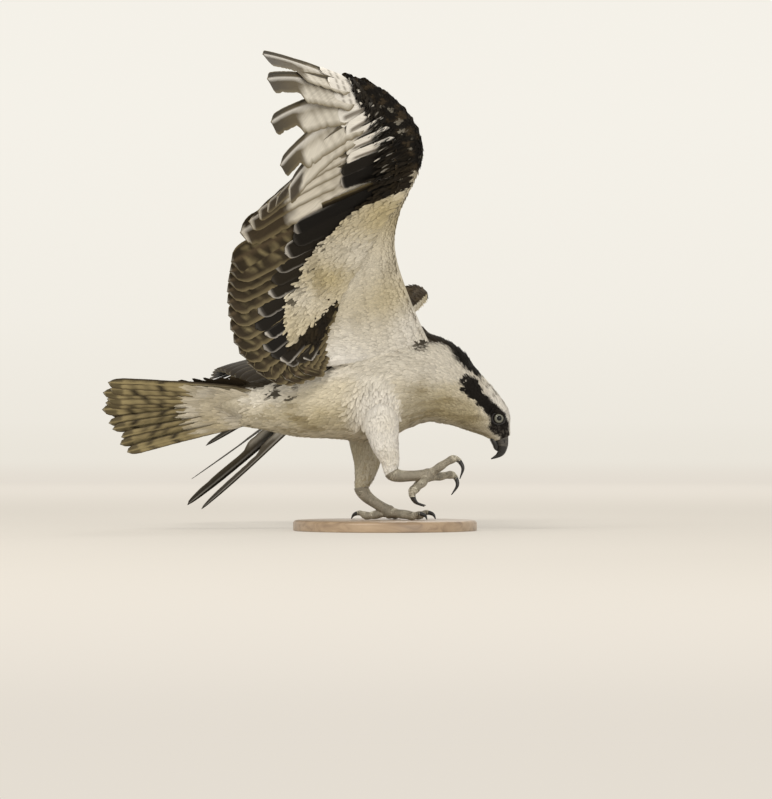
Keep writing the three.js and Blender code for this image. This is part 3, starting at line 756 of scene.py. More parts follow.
def ring_places(limb, start, stop, step, sideways, turns=(0, 2 * np.pi)):
    """Staggered places over a limb: shares and angles, about step apart along and sideways apart round."""
    shares, angles = [], []
    t, row = start, 0
    while t < stop:
        length = np.linalg.norm(limb.line(min(1, t + 0.01)) - limb.line(max(0, t - 0.01))) / 0.02
        half = limb.size(t)
        around = (half[0] + half[1] + 2 * half[2]) / 4 * (turns[1] - turns[0])
        count = max(4, int(around / sideways))
        angle = turns[0] + (np.arange(count) + 0.5 * (row % 2)) / count * (turns[1] - turns[0])
        angle = angle + rng.uniform(-0.3, 0.3, count) * (turns[1] - turns[0]) / count
        shares.append(t + rng.uniform(-0.3, 0.3, count) * step / length)
        angles.append(angle)
        t += step / length
        row += 1
    return np.clip(np.concatenate(shares), 0, 1), np.concatenate(angles)


def vary(n, spread):
    return 1 + rng.uniform(-spread, spread, n)


def unwrap(turn, t):
    """A place on the unrolled skin of a limb: round it, then along it."""
    return np.stack([(turn / (2 * np.pi)) % 1 * 0.98 + 0.01, t * 0.98 + 0.01], 1)


def eye_centres(places):
    """The centre of the eye on each point's own side."""
    one = np.ones(len(places))
    return EYE_AT * np.stack([one, np.sign(places[:, 1]), one], 1)


def body_coat(name, start, stop, step, sideways, length, width, lift, spread=0.12):
    """Feathers over a stretch of the trunk, neck or head. length, width and lift are functions of t."""
    t, turn = ring_places(BODY, start, stop, step, sideways)
    places, normals, keep = on_skin(BODY.point(t, turn, -coat_depth(t)))
    keep &= np.linalg.norm(places - eye_centres(places), axis=1) >= EYE_CLEAR
    t, turn, places, normals = t[keep], turn[keep], places[keep], normals[keep]
    n = len(t)
    dirs = -BODY.tangent(t) + 0.09 * rng.standard_normal((n, 3)) + [0, 0, -0.10]
    flow = near_thigh(places)
    dirs = dirs + flow[:, None] * [1.0, 0, -2.0]
    tint = body_tint(places, t, turn) * vary(n, spread)[:, None]
    length, width = length(t) * vary(n, 0.15), width(t) * vary(n, 0.15)
    lift = lift(t) * vary(n, 0.5) + 0.5 * flow
    return tufts(name, places, normals, dirs, length, width, lift, tint, unwrap(turn, t), cup=0.14)


def thigh_coat(name, limb, stop, far):
    """Short feathers down a thigh, with painted shade on the far leg: darker, yellower and more flecked."""
    t, turn = ring_places(limb, 0.02, stop, 2.7, 2.4)
    places, normals, keep = on_skin(limb.point(t, turn, -1.5))
    t, turn, places, normals = t[keep], turn[keep], places[keep], normals[keep]
    n = len(t)
    dirs = limb.tangent(t) + 0.12 * rng.standard_normal((n, 3))
    # Painted shade: the far thigh is yellower, 0.72 as bright and more heavily flecked.
    ground = blend(WHITE, BUFF, (0.55 if far else 0.06) + 0.12 * ripple(places, 12.0))
    tint = ground * vary(n, 0.1)[:, None] * (0.72 if far else 1.0)
    fleck = smooth(0.3, 0.6, ripple(places, 2.6, 4.0)) * smooth(0.1, 0.5, t)
    tint = blend(tint, blend(UMBER, BUFF, 0.5), (0.6 if far else 0.35) * fleck)
    length = np.interp(t, [0, 0.35, 0.6], [13, 8.5, 4.5]) * vary(n, 0.2)
    width, lift = 1.4 * vary(n, 0.2), 1.0 * vary(n, 0.5)
    return tufts(name, places, normals, dirs, length, width, lift, tint, unwrap(turn, t), cup=0.14)


# Long vanes.

VANE_ROWS, WEB_COLUMNS = 44, 5


def vane_shape(notch, v, start):
    """Half widths of both webs at shares v of the shaft, as shares of the full widths; notch 0 for none."""
    tip = np.sqrt(np.clip(1 - (np.clip(v - start, 0, 1) / (1 - start)) ** 2.2, 0, 1))
    base = np.clip(0.15 + v * 5.5, 0, 1) ** 0.8
    if not notch:
        return base * tip, base * tip
    front = 1 - 0.15 * smooth(notch - 0.12, notch + 0.04, v)
    return base * tip * front, base * tip * (1 - 0.42 * smooth(notch, notch + 0.09, v))


def long_vane(line, inner, top, webs, notch, roll, camber=1.6, thick=0.45, seed=0, start=0.90):
    """A closed vane with a shaft: (rings, u, v). u is -1 at the leading edge and 1 at the trailing edge."""
    draw = np.random.default_rng(seed)
    v = np.linspace(0, 1, VANE_ROWS) ** 0.92
    front, back = vane_shape(notch, v, start)
    front = front * webs[0] * (1 - FRAY * draw.random(VANE_ROWS) ** 3)
    back = back * webs[1] * (1 - 2 * FRAY * draw.random(VANE_ROWS) ** 4)
    across = inner * math.cos(roll) - top * math.sin(roll)
    u = np.concatenate([np.linspace(-1, 0, WEB_COLUMNS), np.linspace(0, 1, WEB_COLUMNS)[1:]])
    reach = np.where(u[None, :] < 0, front[:, None] * u[None, :], back[:, None] * u[None, :])
    mid = line(v)[:, None] + across[None, None] * reach[..., None]
    mid = mid + top[None, None] * (-camber * (u[None, :] ** 2))[..., None]
    sweep = unit(line(np.array([1.0])) - line(np.array([0.0])))[0]
    mid = mid + sweep * (-0.10 * np.abs(reach) * smooth(0.75, 1, v)[:, None])[..., None]
    fat = thick / 2 * (1 - 0.75 * np.abs(u)) + 0.55 * np.exp(-((u / 0.10) ** 2)) * (1 - 0.8 * v[:, None])
    upper = mid + top * fat[..., None]
    lower = (mid - top * fat[..., None])[:, ::-1][:, 1:-1]
    rings = np.concatenate([upper, lower], 1)
    around = np.concatenate([u, u[::-1][1:-1]])
    return rings, np.broadcast_to(around, rings.shape[:2]), np.broadcast_to(v[:, None], rings.shape[:2])


class Vanes:
    """Gathers long vanes into one mesh."""

    def __init__(self):
        self.parts, self.tint, self.cell, self.kinds = [], [], [], []

    def put(self, rings, u, v, tint):
        self.parts.append(loft(rings))
        self.tint.append(np.vstack([tint.reshape(-1, 3), tint[0, 0], tint[-1, 0]]))
        self.cell.append(np.stack([np.append(u.ravel(), [0, 0]), np.append(v.ravel(), [0, 1])], 1))
        kind = np.zeros(rings.shape[:2], int)
        kind[:, 0], kind[:, rings.shape[1] // 2] = 1, 2
        self.kinds.append(np.append(kind.ravel(), [3, 3]))

    def object(self, name, slot, *replaced):
        columns = math.ceil(math.sqrt(len(self.cell) * 3))
        lines = math.ceil(len(self.cell) / columns)
        grain, bake = [], []
        for i, cell in enumerate(self.cell):
            corner = np.array([i % columns, i // columns])
            bake.append((corner + [0.5, 0.04] + cell * [0.42, 0.92]) / [columns, lines])
            grain.append(cell + [0, 0.37 * (i + 1)])
        obj = mesh_object(
            name, *joined(self.parts), FLIGHT, np.vstack(self.tint), np.vstack(grain), np.vstack(bake),
            np.concatenate(self.kinds),
        )
        return finish_piece(obj, slot, *replaced)


def spots(u, v, places, half):
    """Rows of short pale marks across a vane, strongest in the middle of each web."""
    rows = sum(np.exp(-(((v + 0.05 * np.abs(u) - c) / half) ** 2)) for c in places)
    return rows * smooth(0.02, 0.25, np.abs(u)) * smooth(1.0, 0.7, np.abs(u))


def pale_rim(u, v, width=0.12, tip=0.035):
    """1 along a vane's edge and tip."""
    return np.maximum(smooth(1 - width, 1 - 0.3 * width, np.abs(u)), smooth(1 - tip, 1 - 0.4 * tip, v))


NO_TIP = 1e-6
NOTCHES = [0.70, 0.63, 0.56, 0.52]
PALE_SHARE = [0.70, 0.72, 0.76, 0.79, 0.81, 0.82, 0.72, 0.66, 0.60, 0.50]


def secondary_tint(u, v, waver, draw):
    """Underside of a secondary: nearly black, with rows of dull spots and a pale tip."""
    tint = blend(BROWN, UMBER, 0.15 * smooth(0.3, 1.0, u) + 0.15 * np.sin(v * 40 + draw * 5) * (u > 0))
    rows = (0.52, 0.60, 0.68, 0.76, 0.84, 0.92)
    mark = spots(u, v + waver, rows, 0.013) * smooth(0.85, 0.45, np.abs(u))
    tint = blend(tint, blend(UMBER, BUFF, 0.9), (0.30 + 0.14 * np.sin(7 * draw)) * mark)
    return blend(tint, CREAM, 0.55 * pale_rim(u, v, 0.10, 0.022) * smooth(0.6, 0.9, v))


def primary_tint(primary, u, v, waver):
    """Underside of a primary: cream to its pale share, with a painted shadow of the next feather towards the
    shaft, and darker beyond.
    """
    dusky = blend(UMBER, BUFF, 0.18)
    end = PALE_SHARE[primary]
    # Painted shadow: the pale web turns dusky towards the shaft, where the next feather's shadow falls.
    pale = blend(CREAM, dusky, 0.75 * smooth(0.55, 0.0, u) + 0.25 * spots(u, v, (0.36, 0.44, 0.52), 0.02))
    if primary < FIRST_FINGER:
        far = blend(BROWN, UMBER, 0.35 + 0 * u)
        rim = 0.85 * pale_rim(u, v, 0.13, 0.045) * smooth(0.35, 0.5, v)
    else:
        far = blend(dusky, BROWN, 0.35 + 0.5 * smooth(end, 1.0, v))
        rim = 0.5 * pale_rim(u, v, 0.10, NO_TIP) * (u > 0) * smooth(end + 0.05, end - 0.05, v)
    tint = blend(pale, far, smooth(end - 0.02, end + 0.05, v + 0.06 * (1 - u) + waver))
    return blend(blend(tint, CREAM, rim), BLACK, 0.8 * smooth(-0.35, -0.75, u))


def two_sided(i, u, v, draw):
    """Colours of flight feather i: upper side on the first half of each ring, underside on the rest."""
    waver = 0.02 * np.sin(37 * v + 9 * draw) * np.sin(5 * u + draw)
    primary = i - SECONDARIES
    under = secondary_tint(u, v, waver, draw) if primary < 0 else primary_tint(primary, u, v, waver)
    over = blend(BROWN, UMBER, 0.25 + 0.25 * np.sin(v * 26 + draw * 9) * smooth(0.1, 0.6, u))
    over = blend(over, blend(UMBER, BUFF, 0.5), 0.5 * pale_rim(u, v, 0.08, 0.02))
    below = (np.arange(u.shape[1]) > u.shape[1] // 2)[None, :]
    tint = np.where(below[..., None], under, over)
    quill = np.exp(-((u / 0.07) ** 2))
    return blend(tint, UMBER if primary < 0 else WHITE, quill * below * 0.85)


def web_widths(primary):
    """Half widths of a flight feather's leading and trailing webs."""
    if primary in (-1, 0):
        return 20, 34
    if primary < 0:
        return 15, 26
    if primary < FIRST_FINGER:
        return 12, 34
    return (10, 36) if primary < PRIMARIES - 1 else (7, 30)


def flight_feathers(side):
    wing = wings[side]
    made = Vanes()
    for i in range(QUILLS):
        primary = i - SECONDARIES
        finger = primary >= FIRST_FINGER
        notch = NOTCHES[primary - FIRST_FINGER] if finger else 0
        start = 0.90 if not finger else 0.93 if side == "right" else 0.76
        rings, u, v = long_vane(
            lambda t, i=i: wing.quill(i, t), wing.inner[i], wing.top[i], web_widths(primary), notch,
            wing.roll[i], seed=i, start=start,
        )
        # Painted shade: the far (left) wing's flight feathers are painted at half brightness.
        made.put(rings, u, v, two_sided(i, u, v, 0.13 * i) * (0.5 if side == "left" else 1.0))
    return made


def covert_tier(made, wing, face, reach, lift, half, tint, count=1):
    """A tier of long coverts, each along the line of a flight feather or between two."""
    for k in range((QUILLS - 1) * count + 1):
        at = k / count
        i = int(min(at, QUILLS - 2))
        w = at - i
        inner, top = wing.between(i, w)
        share = reach(at) * (1 + 0.05 * rng.uniform(-1, 1))
        high = lift * (1 + 0.12 * rng.uniform(-1, 1))

        def line(t, i=i, w=w, top=top, share=share, high=high):
            t = np.asarray(t, float)
            p = wing.quill(i, t * share) * (1 - w) + wing.quill(i + 1, t * share) * w
            rise = face * (2 + (high - 2) * np.minimum(1, t * 2.5))
            return p + top * rise[..., None]

        roll = 0.15 if at < SECONDARIES else 0.22
        wide = half * np.interp(at, [SECONDARIES + 6, SECONDARIES + 9], [1, 0.45])
        seed = int(97 * at) + 7
        rings, u, v = long_vane(line, inner, top, (wide, wide), 0, roll, face * 1.2, 0.35, seed)
        made.put(rings, u, v, tint(at, u, v))


def upper_tint(at, u, v):
    tint = blend(BROWN, UMBER, 0.25 + 0.2 * np.sin(at * 5) + 0 * u)
    return blend(tint, blend(UMBER, BUFF, 0.4), 0.30 * pale_rim(u, v, 0.16, 0.05))


def lower_tint(at, u, v):
    """Greater coverts under the wing: black along the arm, white with brown streaks along the hand."""
    if at < SECONDARIES + 2:
        tint = blend(BLACK * 0.6, BROWN, 0.25 + 0.25 * np.sin(at * 7) + 0 * u)
        rim = pale_rim(u, v, 0.10, 0.05) * smooth(0.55, 0.9, v) * (0.5 + 0.5 * np.sin(at * 2.1))
        return blend(tint, blend(UMBER, WHITE, 0.5), rim)
    white = blend(WHITE, BUFF, 0.05) * 1.1
    streak = smooth(0.35, 0.1, np.abs(u - 0.1)) * smooth(0.95, 0.8, v)
    if at < SECONDARIES + 7:
        return blend(white, UMBER, 0.85 * streak)
    return blend(white, UMBER, 0.6 * spots(u, v, (0.55, 0.75), 0.04))


def upper_reach(at):
    return 0.44 if at < SECONDARIES else 0.40


def black_reach(at):
    ends = [0, 3, 8, 12, SECONDARIES - 1, SECONDARIES, SECONDARIES + 9]
    return np.interp(at, ends, [0.60, 0.82, 0.78, 0.68, 0.60, 0.38, 0.30])


def lining_reach(at):
    ends = [0, 2.4, 3.4, 8, 12, SECONDARIES - 2, SECONDARIES, SECONDARIES + 9]
    return np.interp(at, ends, [0.40, 0.46, 0.62, 0.54, 0.40, 0.26, 0.17, 0.07])


def soft_row(wing, at):
    """Roots, normals, directions, tints, map places and lengths of one row of soft coverts along a quill."""
    i = int(at)
    w = at - i
    end = lining_reach(at) + 0.025 * rng.standard_normal()
    run = np.linalg.norm(wing.tips[i] - wing.roots[i])
    share = np.arange((rng.uniform(0, 4) - 16) / run, max(end - 11 / run, 0.03), 4 / run)
    quills = wing.quill(i, share) * (1 - w) + wing.quill(i + 1, share) * w
    top = wing.between(i, w)[1]
    high = np.interp(share / end, [-0.3, 0, 0.3, 1], [5, 7, 8, 7])
    roots = quills - top * high[:, None] + rng.standard_normal((len(share), 3)) * 0.8
    one = np.ones((len(share), 1))
    along = wing.along[i] * (1 - w) + wing.along[i + 1] * w
    cells = np.stack([np.full(len(share), at / QUILLS + 0.01), share / end * 0.9 + 0.05], 1)
    length = 15.0 if at < SECONDARIES else 17.0
    return roots, -top * one, along * one, soft_tint(at, share / end, roots), cells, length * one


def soft_coverts(side):
    """Small soft feathers that carry the wing's lining out over the roots of the flight feathers."""
    rows = []
    for at in np.arange(0, QUILLS - 1.02, 0.11):
        at = at + 0.05 * rng.standard_normal()
        rows.append(soft_row(wings[side], min(max(at, 0), QUILLS - 1.02)))
    places, normals, dirs, tints, cells, lengths = (np.vstack(values) for values in zip(*rows))
    n = len(places)
    dirs = dirs + 0.10 * rng.standard_normal((n, 3))
    tint = tints * vary(n, 0.12)[:, None]
    length, width, lift = lengths[:, 0] * vary(n, 0.2), 2.3 * vary(n, 0.2), 1.0 * vary(n, 0.6)
    name = side + "_soft_coverts"
    tufts(name, places, normals, dirs, length, width, lift, tint, cells, slot="dark_plumage")


def soft_tint(at, out, p):
    """Pale lining along the arm, under painted shade of buff and olive streaks, with dusky flecks; dark with
    pale fringes along the hand.
    """
    if 4.2 <= at < SECONDARIES - 1.5:
        # Painted shade: the white lining is turned buff, with olive streaks, where it faces down.
        tint = blend(WHITE, BUFF, 0.60 + 0.3 * ripple(p, 22.0, 1.0))
        tint = blend(tint, OLIVE, 0.35 * smooth(0.1, 0.8, ripple(p * [1, 1, 0.45], 9.0, 7.0)))
        fleck = smooth(0.25, 0.5, ripple(p, 3.6, 4.0)) * smooth(0.55, 0.85, out) * smooth(4, 8, at)
        return blend(tint, BROWN, 0.85 * fleck)
    dark = blend(BLACK, BROWN, 0.5 + 0.5 * ripple(p, 6.0, 2.0))
    fringe = smooth(0.56, 0.66, ripple(p, 3.4, 6.0)) * smooth(0.1, 0.4, out) * (at >= SECONDARIES)
    return blend(dark, blend(WHITE, BUFF, 0.2), 0.9 * fringe)


flight = {side: flight_feathers(side) for side in wings}
for side, made in flight.items():
    covert_tier(made, wings[side], 1, upper_reach, 6.0, 13, upper_tint)
    covert_tier(made, wings[side], -1, black_reach, 5.0, 13, lower_tint)
    covert_tier(made, wings[side], 1, lambda at: 0.27, 8.0, 10, upper_tint, count=2)
for side, made in flight.items():
    made.object(side + "_wing_feathers", "dark_plumage")


def alula(side):
    """The thumb's feathers, lying along the hand's upper side."""
    wing = wings[side]
    made = Vanes()
    for i, reach in enumerate((0.15, 0.17, 0.19)):
        at = WRIST + 0.035 + i * 0.03
        root = wing.front(at) * 0.85 + wing.rear(at) * 0.15
        top = wing.top_at(at + 0.1)
        tip = wing.front(at + reach) * 0.65 + wing.rear(at + reach) * 0.35 + top * (6 + 2 * i)
        inner = unit(np.cross(tip - root, top)) * wing.hand
        rings, u, v = long_vane(curved(root, tip, top, 4), inner, top, (5, 12), 0, 0.12, seed=40 + i)
        made.put(rings, u, v, blend(BROWN, BLACK, 0.5 + 0 * u))
    return made.object(side + "_alula", "dark_plumage")


def curved(root, tip, top, bow):
    """A shaft's line from root to tip, bowed towards top."""

    def line(t):
        t = np.asarray(t, float)[..., None]
        return root + (tip - root) * t + top * (bow * 4 * t * (1 - t))

    return line


alula("right")
alula("left")
soft_coverts("right")
soft_coverts("left")

# Wing coats over the flesh.


def lining_tint(t, s, p):
    """Colour of the small coverts under the wing: white lining under painted shade of buff and olive streaks,
    and black wrist patch.
    """
    # Painted shade: the white lining is turned buff, with olive streaks, where it faces down.
    streak = smooth(0.1, 0.8, ripple(p * [1, 1, 0.45], 9.0, 7.0))
    tint = blend(WHITE, BUFF, 0.52 + 0.25 * ripple(p, 26.0, 1.0) - 0.30 * smooth(0.25, 0.0, t))
    tint = blend(tint, OLIVE, 0.28 * streak * smooth(0.02, 0.2, t))
    wobble = 0.05 * ripple(p, 8.0, 2.0)
    wrist = smooth(WRIST - 0.035, WRIST - 0.010, t + wobble + 0.03 * s)
    dark = blend(BLACK, UMBER, 0.45 * smooth(0.0, 0.5, ripple(p, 5.0, 4.0)))
    pale_fleck = smooth(0.45, 0.65, ripple(p, 4.0, 9.0)) * smooth(0.1, 0.5, s)
    return blend(tint, blend(dark, blend(WHITE, BUFF, 0.4), 0.35 * pale_fleck), wrist)


def wing_places(wing, face, step, rows):
    """Staggered places over one face of a wing's flesh: shares along it and across it."""
    along, across = [], []
    for row, s in enumerate(np.arange(0.0, 1.0, rows)):
        line = wing.surface(np.linspace(0.02, 0.99, 60), s, face)
        count = int(np.linalg.norm(np.diff(line, axis=0), axis=1).sum() / step)
        t = np.linspace(0.02, 0.99, count) + 0.5 * (row % 2) * 0.97 / count
        along.append(t + rng.uniform(-0.3, 0.3, count) / count)
        across.append(s + rng.uniform(-0.015, 0.015, count))
    return np.clip(np.concatenate(along), 0, 1), np.clip(np.concatenate(across), 0, 1)


def wing_coat(side, face, step, rows, length, width):
    """Small coverts over the upper side (face 1) or the underside (face -1) of a wing's flesh."""
    wing = wings[side]
    t, s = wing_places(wing, face, step, rows)
    places, normals, keep = on_skin(wing.surface(t, s, face, -1.0), 2.0)
    flat = np.einsum("ij,ij->i", normals, wing.top_at(t)) * face
    keep &= (flat > -0.2) | (s < 0.1)
    t, s, places, normals = t[keep], s[keep], places[keep], normals[keep]
    n = len(t)
    chord = unit(wing.rear(t) - wing.front(t))
    span = unit(wing.rear(np.minimum(1, t + 0.02)) - wing.rear(np.maximum(0, t - 0.02)))
    lean = np.interp(t, [0, WRIST, 0.8, 1], [0.05, 0.35, 1.2, 3.0])
    dirs = unit(chord + span * lean[:, None]) + 0.08 * rng.standard_normal((n, 3))
    if face > 0:
        tint = blend(BROWN, UMBER, 0.35 + 0.35 * ripple(places, 7.0)) * vary(n, 0.25)[:, None]
    else:
        tint = lining_tint(t, s, places) * vary(n, 0.10)[:, None]
    bake = np.stack([t * 0.98 + 0.01, s * 0.48 + (0.51 if face > 0 else 0.01)], 1)
    length = (length * (0.65 + 0.7 * s)) * np.interp(t, [0, WRIST, 1], [1.0, 0.8, 0.5]) * vary(n, 0.15)
    width = width * np.interp(t, [0, WRIST, 1], [1, 0.85, 0.6]) * vary(n, 0.15)
    name = f"{side}_wing_{'mantle' if face > 0 else 'lining'}"
    lift = 0.9 * vary(n, 0.4)
    tufts(name, places, normals, dirs, length, width, lift, tint, bake, slot="dark_plumage")


for side in wings:
    wing_coat(side, 1, 4.2, 0.036, 17, 3.2)
    wing_coat(side, -1, 3.3, 0.030, 15, 2.3)

# Trunk, neck, head and thighs.

body_coat("trunk_coat", 0.02, 0.50, 3.7, 3.3, lambda t: 19.0, lambda t: 2.4, lambda t: 1.3)
body_coat(
    "neck_coat", 0.48, 0.70, 2.7, 2.6,
    lambda t: np.interp(t, [0.48, 0.7], [15, 9]),
    lambda t: np.interp(t, [0.48, 0.7], [1.9, 1.3]),
    lambda t: 1.3,
)
body_coat(
    "head_coat", 0.68, 0.985, 1.75, 1.6,
    lambda t: np.interp(t, [0.68, 0.78, 0.88, 0.97], [8.5, 6.2, 4.2, 2.8]),
    lambda t: np.interp(t, [0.68, 0.88, 0.97], [1.2, 0.85, 0.65]),
    lambda t: np.interp(t, [0.68, 0.9, 0.97], [1.5, 0.8, 0.45]),
)


def nape_plumes():
    """Longer ragged feathers down the back of the head and neck."""
    n = 420
    t = rng.uniform(0.56, 0.76, n)
    turn = np.pi / 2 + 0.42 * rng.standard_normal(n)
    places, normals, _ = on_skin(BODY.point(t, turn, -coat_depth(t)))
    dirs = -BODY.tangent(t) + 0.11 * rng.standard_normal((n, 3))
    tint = body_tint(places, t, turn) * vary(n, 0.15)[:, None]
    length, width, lift = 15 * vary(n, 0.25), 1.5 * vary(n, 0.2), 2.0 * vary(n, 0.4)
    tufts("nape_plumes", places, normals, dirs, length, width, lift, tint, unwrap(turn, t), cup=0.28)


nape_plumes()
for side, leg in LEGS.items():
    thigh_coat(side + "_thigh_coat", leg, HEEL - 0.01, side == "left")

# Tail.

TAIL_TOP = unit([0.05, 0.61, 0.79])
TAIL_TIPS = curve([[-377, -63, 209], [-384, 0, 163], [-358, 64, 114]])
TAIL_ROOTS = curve([[-186, -17, 193], [-188, 0, 174], [-186, 19, 152]])
COVERT_REACH = 0.40


def tail_tint(u, v, share, draw):
    """Buff with broken dark bars below, dark above; the outermost feather has a dark edge."""
    half = u.shape[1] // 2 + 1
    shift = 0.05 * np.abs(u) + 0.02 * np.sin(draw * 61)
    bar = 0
    for place in (0.36, 0.46, 0.56, 0.66, 0.755, 0.85):
        strength = 0.65 + 0.40 * np.sin(41 * place + 90 * draw)
        bar = bar + np.exp(-(((v + shift - place) / 0.034) ** 2)) * strength
    bar = np.clip(bar, 0, 1) * smooth(0.02, 0.2, np.abs(u)) * smooth(0.30, 0.62, v)
    ground = blend(BUFF * 0.92, WHITE, 0.35 * smooth(0.55, 0.3, v))
    ground = blend(ground, OLIVE, 0.36 + 0.2 * np.sin(9 * u + draw * 40))
    end = smooth(0.89, 0.92, v) * smooth(1.0, 0.98, v) * smooth(0.0, 0.3, np.abs(u))
    tint = blend(blend(ground, BROWN, 0.97 * bar), BROWN, 0.70 * end)
    tint = blend(tint, blend(WHITE, BUFF, 0.5), 0.65 * pale_rim(u, v, 0.08, 0.02))
    if share < 0.02:
        tint = blend(tint, BROWN, 0.9 * smooth(-0.45, -0.65, u))
    tint[:, :half] = blend(UMBER, BROWN, 0.4 + 0.6 * bar)[:, :half]
    return tint


def tail():
    made = Vanes()
    for i in range(TAIL_FEATHERS):
        share = i / (TAIL_FEATHERS - 1)
        from_middle = abs(share - 0.5) * 2
        outward_side = -1 if share < 0.5 else 1
        root = TAIL_ROOTS(share) - TAIL_TOP * 4.5 * from_middle
        tip = TAIL_TIPS(share) + TAIL_TOP * (-9 * from_middle - 2.2 * (i % 2))
        along = unit(tip - root)
        tip = tip - along * 4.5 * (1 + math.sin(i * 2.3))
        inner = unit(np.cross(TAIL_TOP, along))
        top = unit(np.cross(along, inner))
        top = -top if top @ TAIL_TOP < 0 else top
        wide = 13 + 2 * (1 - from_middle)
        line = curved(root - along * 10, tip, top, 2)
        webs = (wide * 0.8, wide)
        rings, u, v = long_vane(line, inner * outward_side, top, webs, 0, 0.08, camber=1.0, seed=60 + i)
        made.put(rings, u, v, tail_tint(u, v, share, 0.05 * i))
    return made.object("tail_feathers", "barred_plumage", "tail")


def tail_coverts(face, name, colour, length, width):
    """Soft feathers that run from the rump over the roots of the tail's feathers."""
    rows, columns = 22, 26
    n = rows * columns
    row = np.repeat(np.arange(rows), columns)
    share = (np.tile(np.arange(columns), rows) + 0.5 * (row % 2)) / columns + 0.012 * rng.standard_normal(n)
    out = COVERT_REACH * (row / rows + 0.02 * rng.standard_normal(n))
    share, out = np.clip(share, 0, 1), np.clip(out, 0, 1)
    run = TAIL_TIPS(share) - TAIL_ROOTS(share)
    depth = np.interp(out / COVERT_REACH, [0, 0.4, 1], [11, 7, 2.5])
    droop = 9 * np.abs(share - 0.5) * out / COVERT_REACH
    roots = TAIL_ROOTS(share) + run * out[:, None] + TAIL_TOP * (face * depth - droop)[:, None]
    dirs = unit(run) + 0.07 * rng.standard_normal((n, 3))
    tint = colour(roots) * vary(n, 0.12)[:, None]
    bake = np.stack([share * 0.96 + 0.02, out / COVERT_REACH * 0.46 + (0.52 if face > 0 else 0.02)], 1)
    normals = np.tile(TAIL_TOP * face, (n, 1))
    length, width, lift = length * vary(n, 0.2), width * vary(n, 0.2), 0.7 * vary(n, 0.5)
    tufts(name, roots, normals, dirs, length, width, lift, tint, bake, slot="barred_plumage")


def vent_tint(p):
    tint = blend(WHITE, BUFF, 0.45 + 0.3 * ripple(p, 15.0, 4.0))
    return blend(tint, OLIVE, 0.3 * smooth(0.0, 0.6, ripple(p, 9.0, 1.0)))


def rump_tint(p):
    return blend(BROWN, UMBER, 0.4 + 0.4 * ripple(p, 10.0, 1.0))


tail()
tail_coverts(-1, "vent_coverts", vent_tint, 26, 3.6)
tail_coverts(1, "rump_coverts", rump_tint, 28, 4.2)

# Head: lids, eyes, bill.


def join_lofts(name, rings_list, material, slot, *replaced, tint=None):
    obj = mesh_object(name, *joined([loft(rings) for rings in rings_list]), material, tint)
    return finish_piece(obj, slot, *replaced)


def eye(side, name):
    """An eyeball: rings round the line of sight, with the cornea's bulge in front."""
    rows, sides = 40, 64
    polar = np.linspace(0.002, np.pi - 0.002, rows)[:, None]
    turn = np.linspace(0, 2 * np.pi, sides, endpoint=False)[None, :]
    outer, x, y = eye_axes(side)
    bulge = 1 + 0.035 * np.exp(-((polar / 0.5) ** 2))
    rings = EYE_AT * [1, side, 1] + EYE_RADIUS * bulge[..., None] * (
        (np.cos(polar) + 0 * turn)[..., None] * outer
        + (np.sin(polar) * np.cos(turn))[..., None] * x
        + (np.sin(polar) * np.sin(turn))[..., None] * y
    )
    angle = np.broadcast_to(polar, (rows, sides))
    streak = 0.85 + 0.15 * np.sin(turn * 23 + 3 * np.sin(turn * 5)) + 0 * angle
    tint = blend(IRIS * streak[..., None], IRIS_EDGE, smooth(0.58, 0.72, angle))
    tint = blend(tint, PUPIL, smooth(0.39, 0.36, angle))
    tint = blend(tint, EYE_RIM, smooth(0.74, 0.80, angle))
    tint = np.vstack([tint.reshape(-1, 3), tint[0, 0], tint[-1, 0]])
    return join_lofts(name, [rings], EYE_MATERIAL, "eye", name, tint=tint)


def lids(side):
    """A dark rim of skin round the eye, slightly wider than high."""
    outer, x, y = eye_axes(side)
    turn = np.linspace(0, 2 * np.pi, 64, endpoint=False)
    small = np.linspace(0, 2 * np.pi, 12, endpoint=False)
    centre = EYE_AT * [1, side, 1] + outer * EYE_RADIUS * 0.46
    radial = np.cos(turn)[:, None] * x + np.sin(turn)[:, None] * y
    mid = centre + radial * LID_RING * (1 + 0.05 * np.cos(2 * turn))[:, None]
    section = np.cos(small)[None, :, None] * radial[:, None] + np.sin(small)[None, :, None] * outer
    rings = mid[:, None] + LID_THICK * section
    tris = grid_faces(*rings.shape[:2], closed=True)
    verts = rings.reshape(-1, 3)
    obj = mesh_object(f"lids_{'right' if side < 0 else 'left'}", verts, outward(verts - centre, tris), LID)
    return finish_piece(obj, "horn")


def brow(side):
    ridge = Limb(
        [[163, side * 15, 148], [160, side * 20, 157], [151, side * 22.5, 163], [140, side * 23, 165]],
        [[1, 1, 1], [3.2, 3.2, 2.4], [3.6, 3.6, 2.4], [1, 1, 1]],
    )
    return ridge.rings(0, 1, 24, 16, -0.6)


BILL = Limb(
    [[157, 0, 129], [160, 0, 120], [159.5, 0, 112.5], [157, 0, 106], [152.5, 0, 101.5], [144.2, 0, 97.3]],
    [[11.5, 9, 12], [7.6, 8.5, 10], [6.8, 7, 7.8], [5.5, 4.8, 5.2], [3, 2.8, 3], [0.7, 0.7, 0.7]],
)
LOWER_BILL = Limb(
    [[145, 0, 125], [148.5, 0, 118], [151, 0, 112], [153, 0, 108.5]],
    [[7, 3.2, 9.5], [7.5, 3, 8.4], [6, 2.8, 6.2], [2.5, 1, 3]],
)


def nostril(side):
    """A narrow dark slit low on one side of the cere."""
    slit = Limb(
        [
            [159.5, side * 9.6, 124.6], [161.2, side * 9.7, 123], [162.2, side * 9.3, 120.4],
            [161.8, side * 9.1, 118.6],
        ],
        [[0.4, 0.4, 0.4], [1.3, 1.3, 1.2], [1.3, 1.3, 1.2], [0.4, 0.4, 0.4]],
    )
    return slit.rings(0, 1, 16, 12)


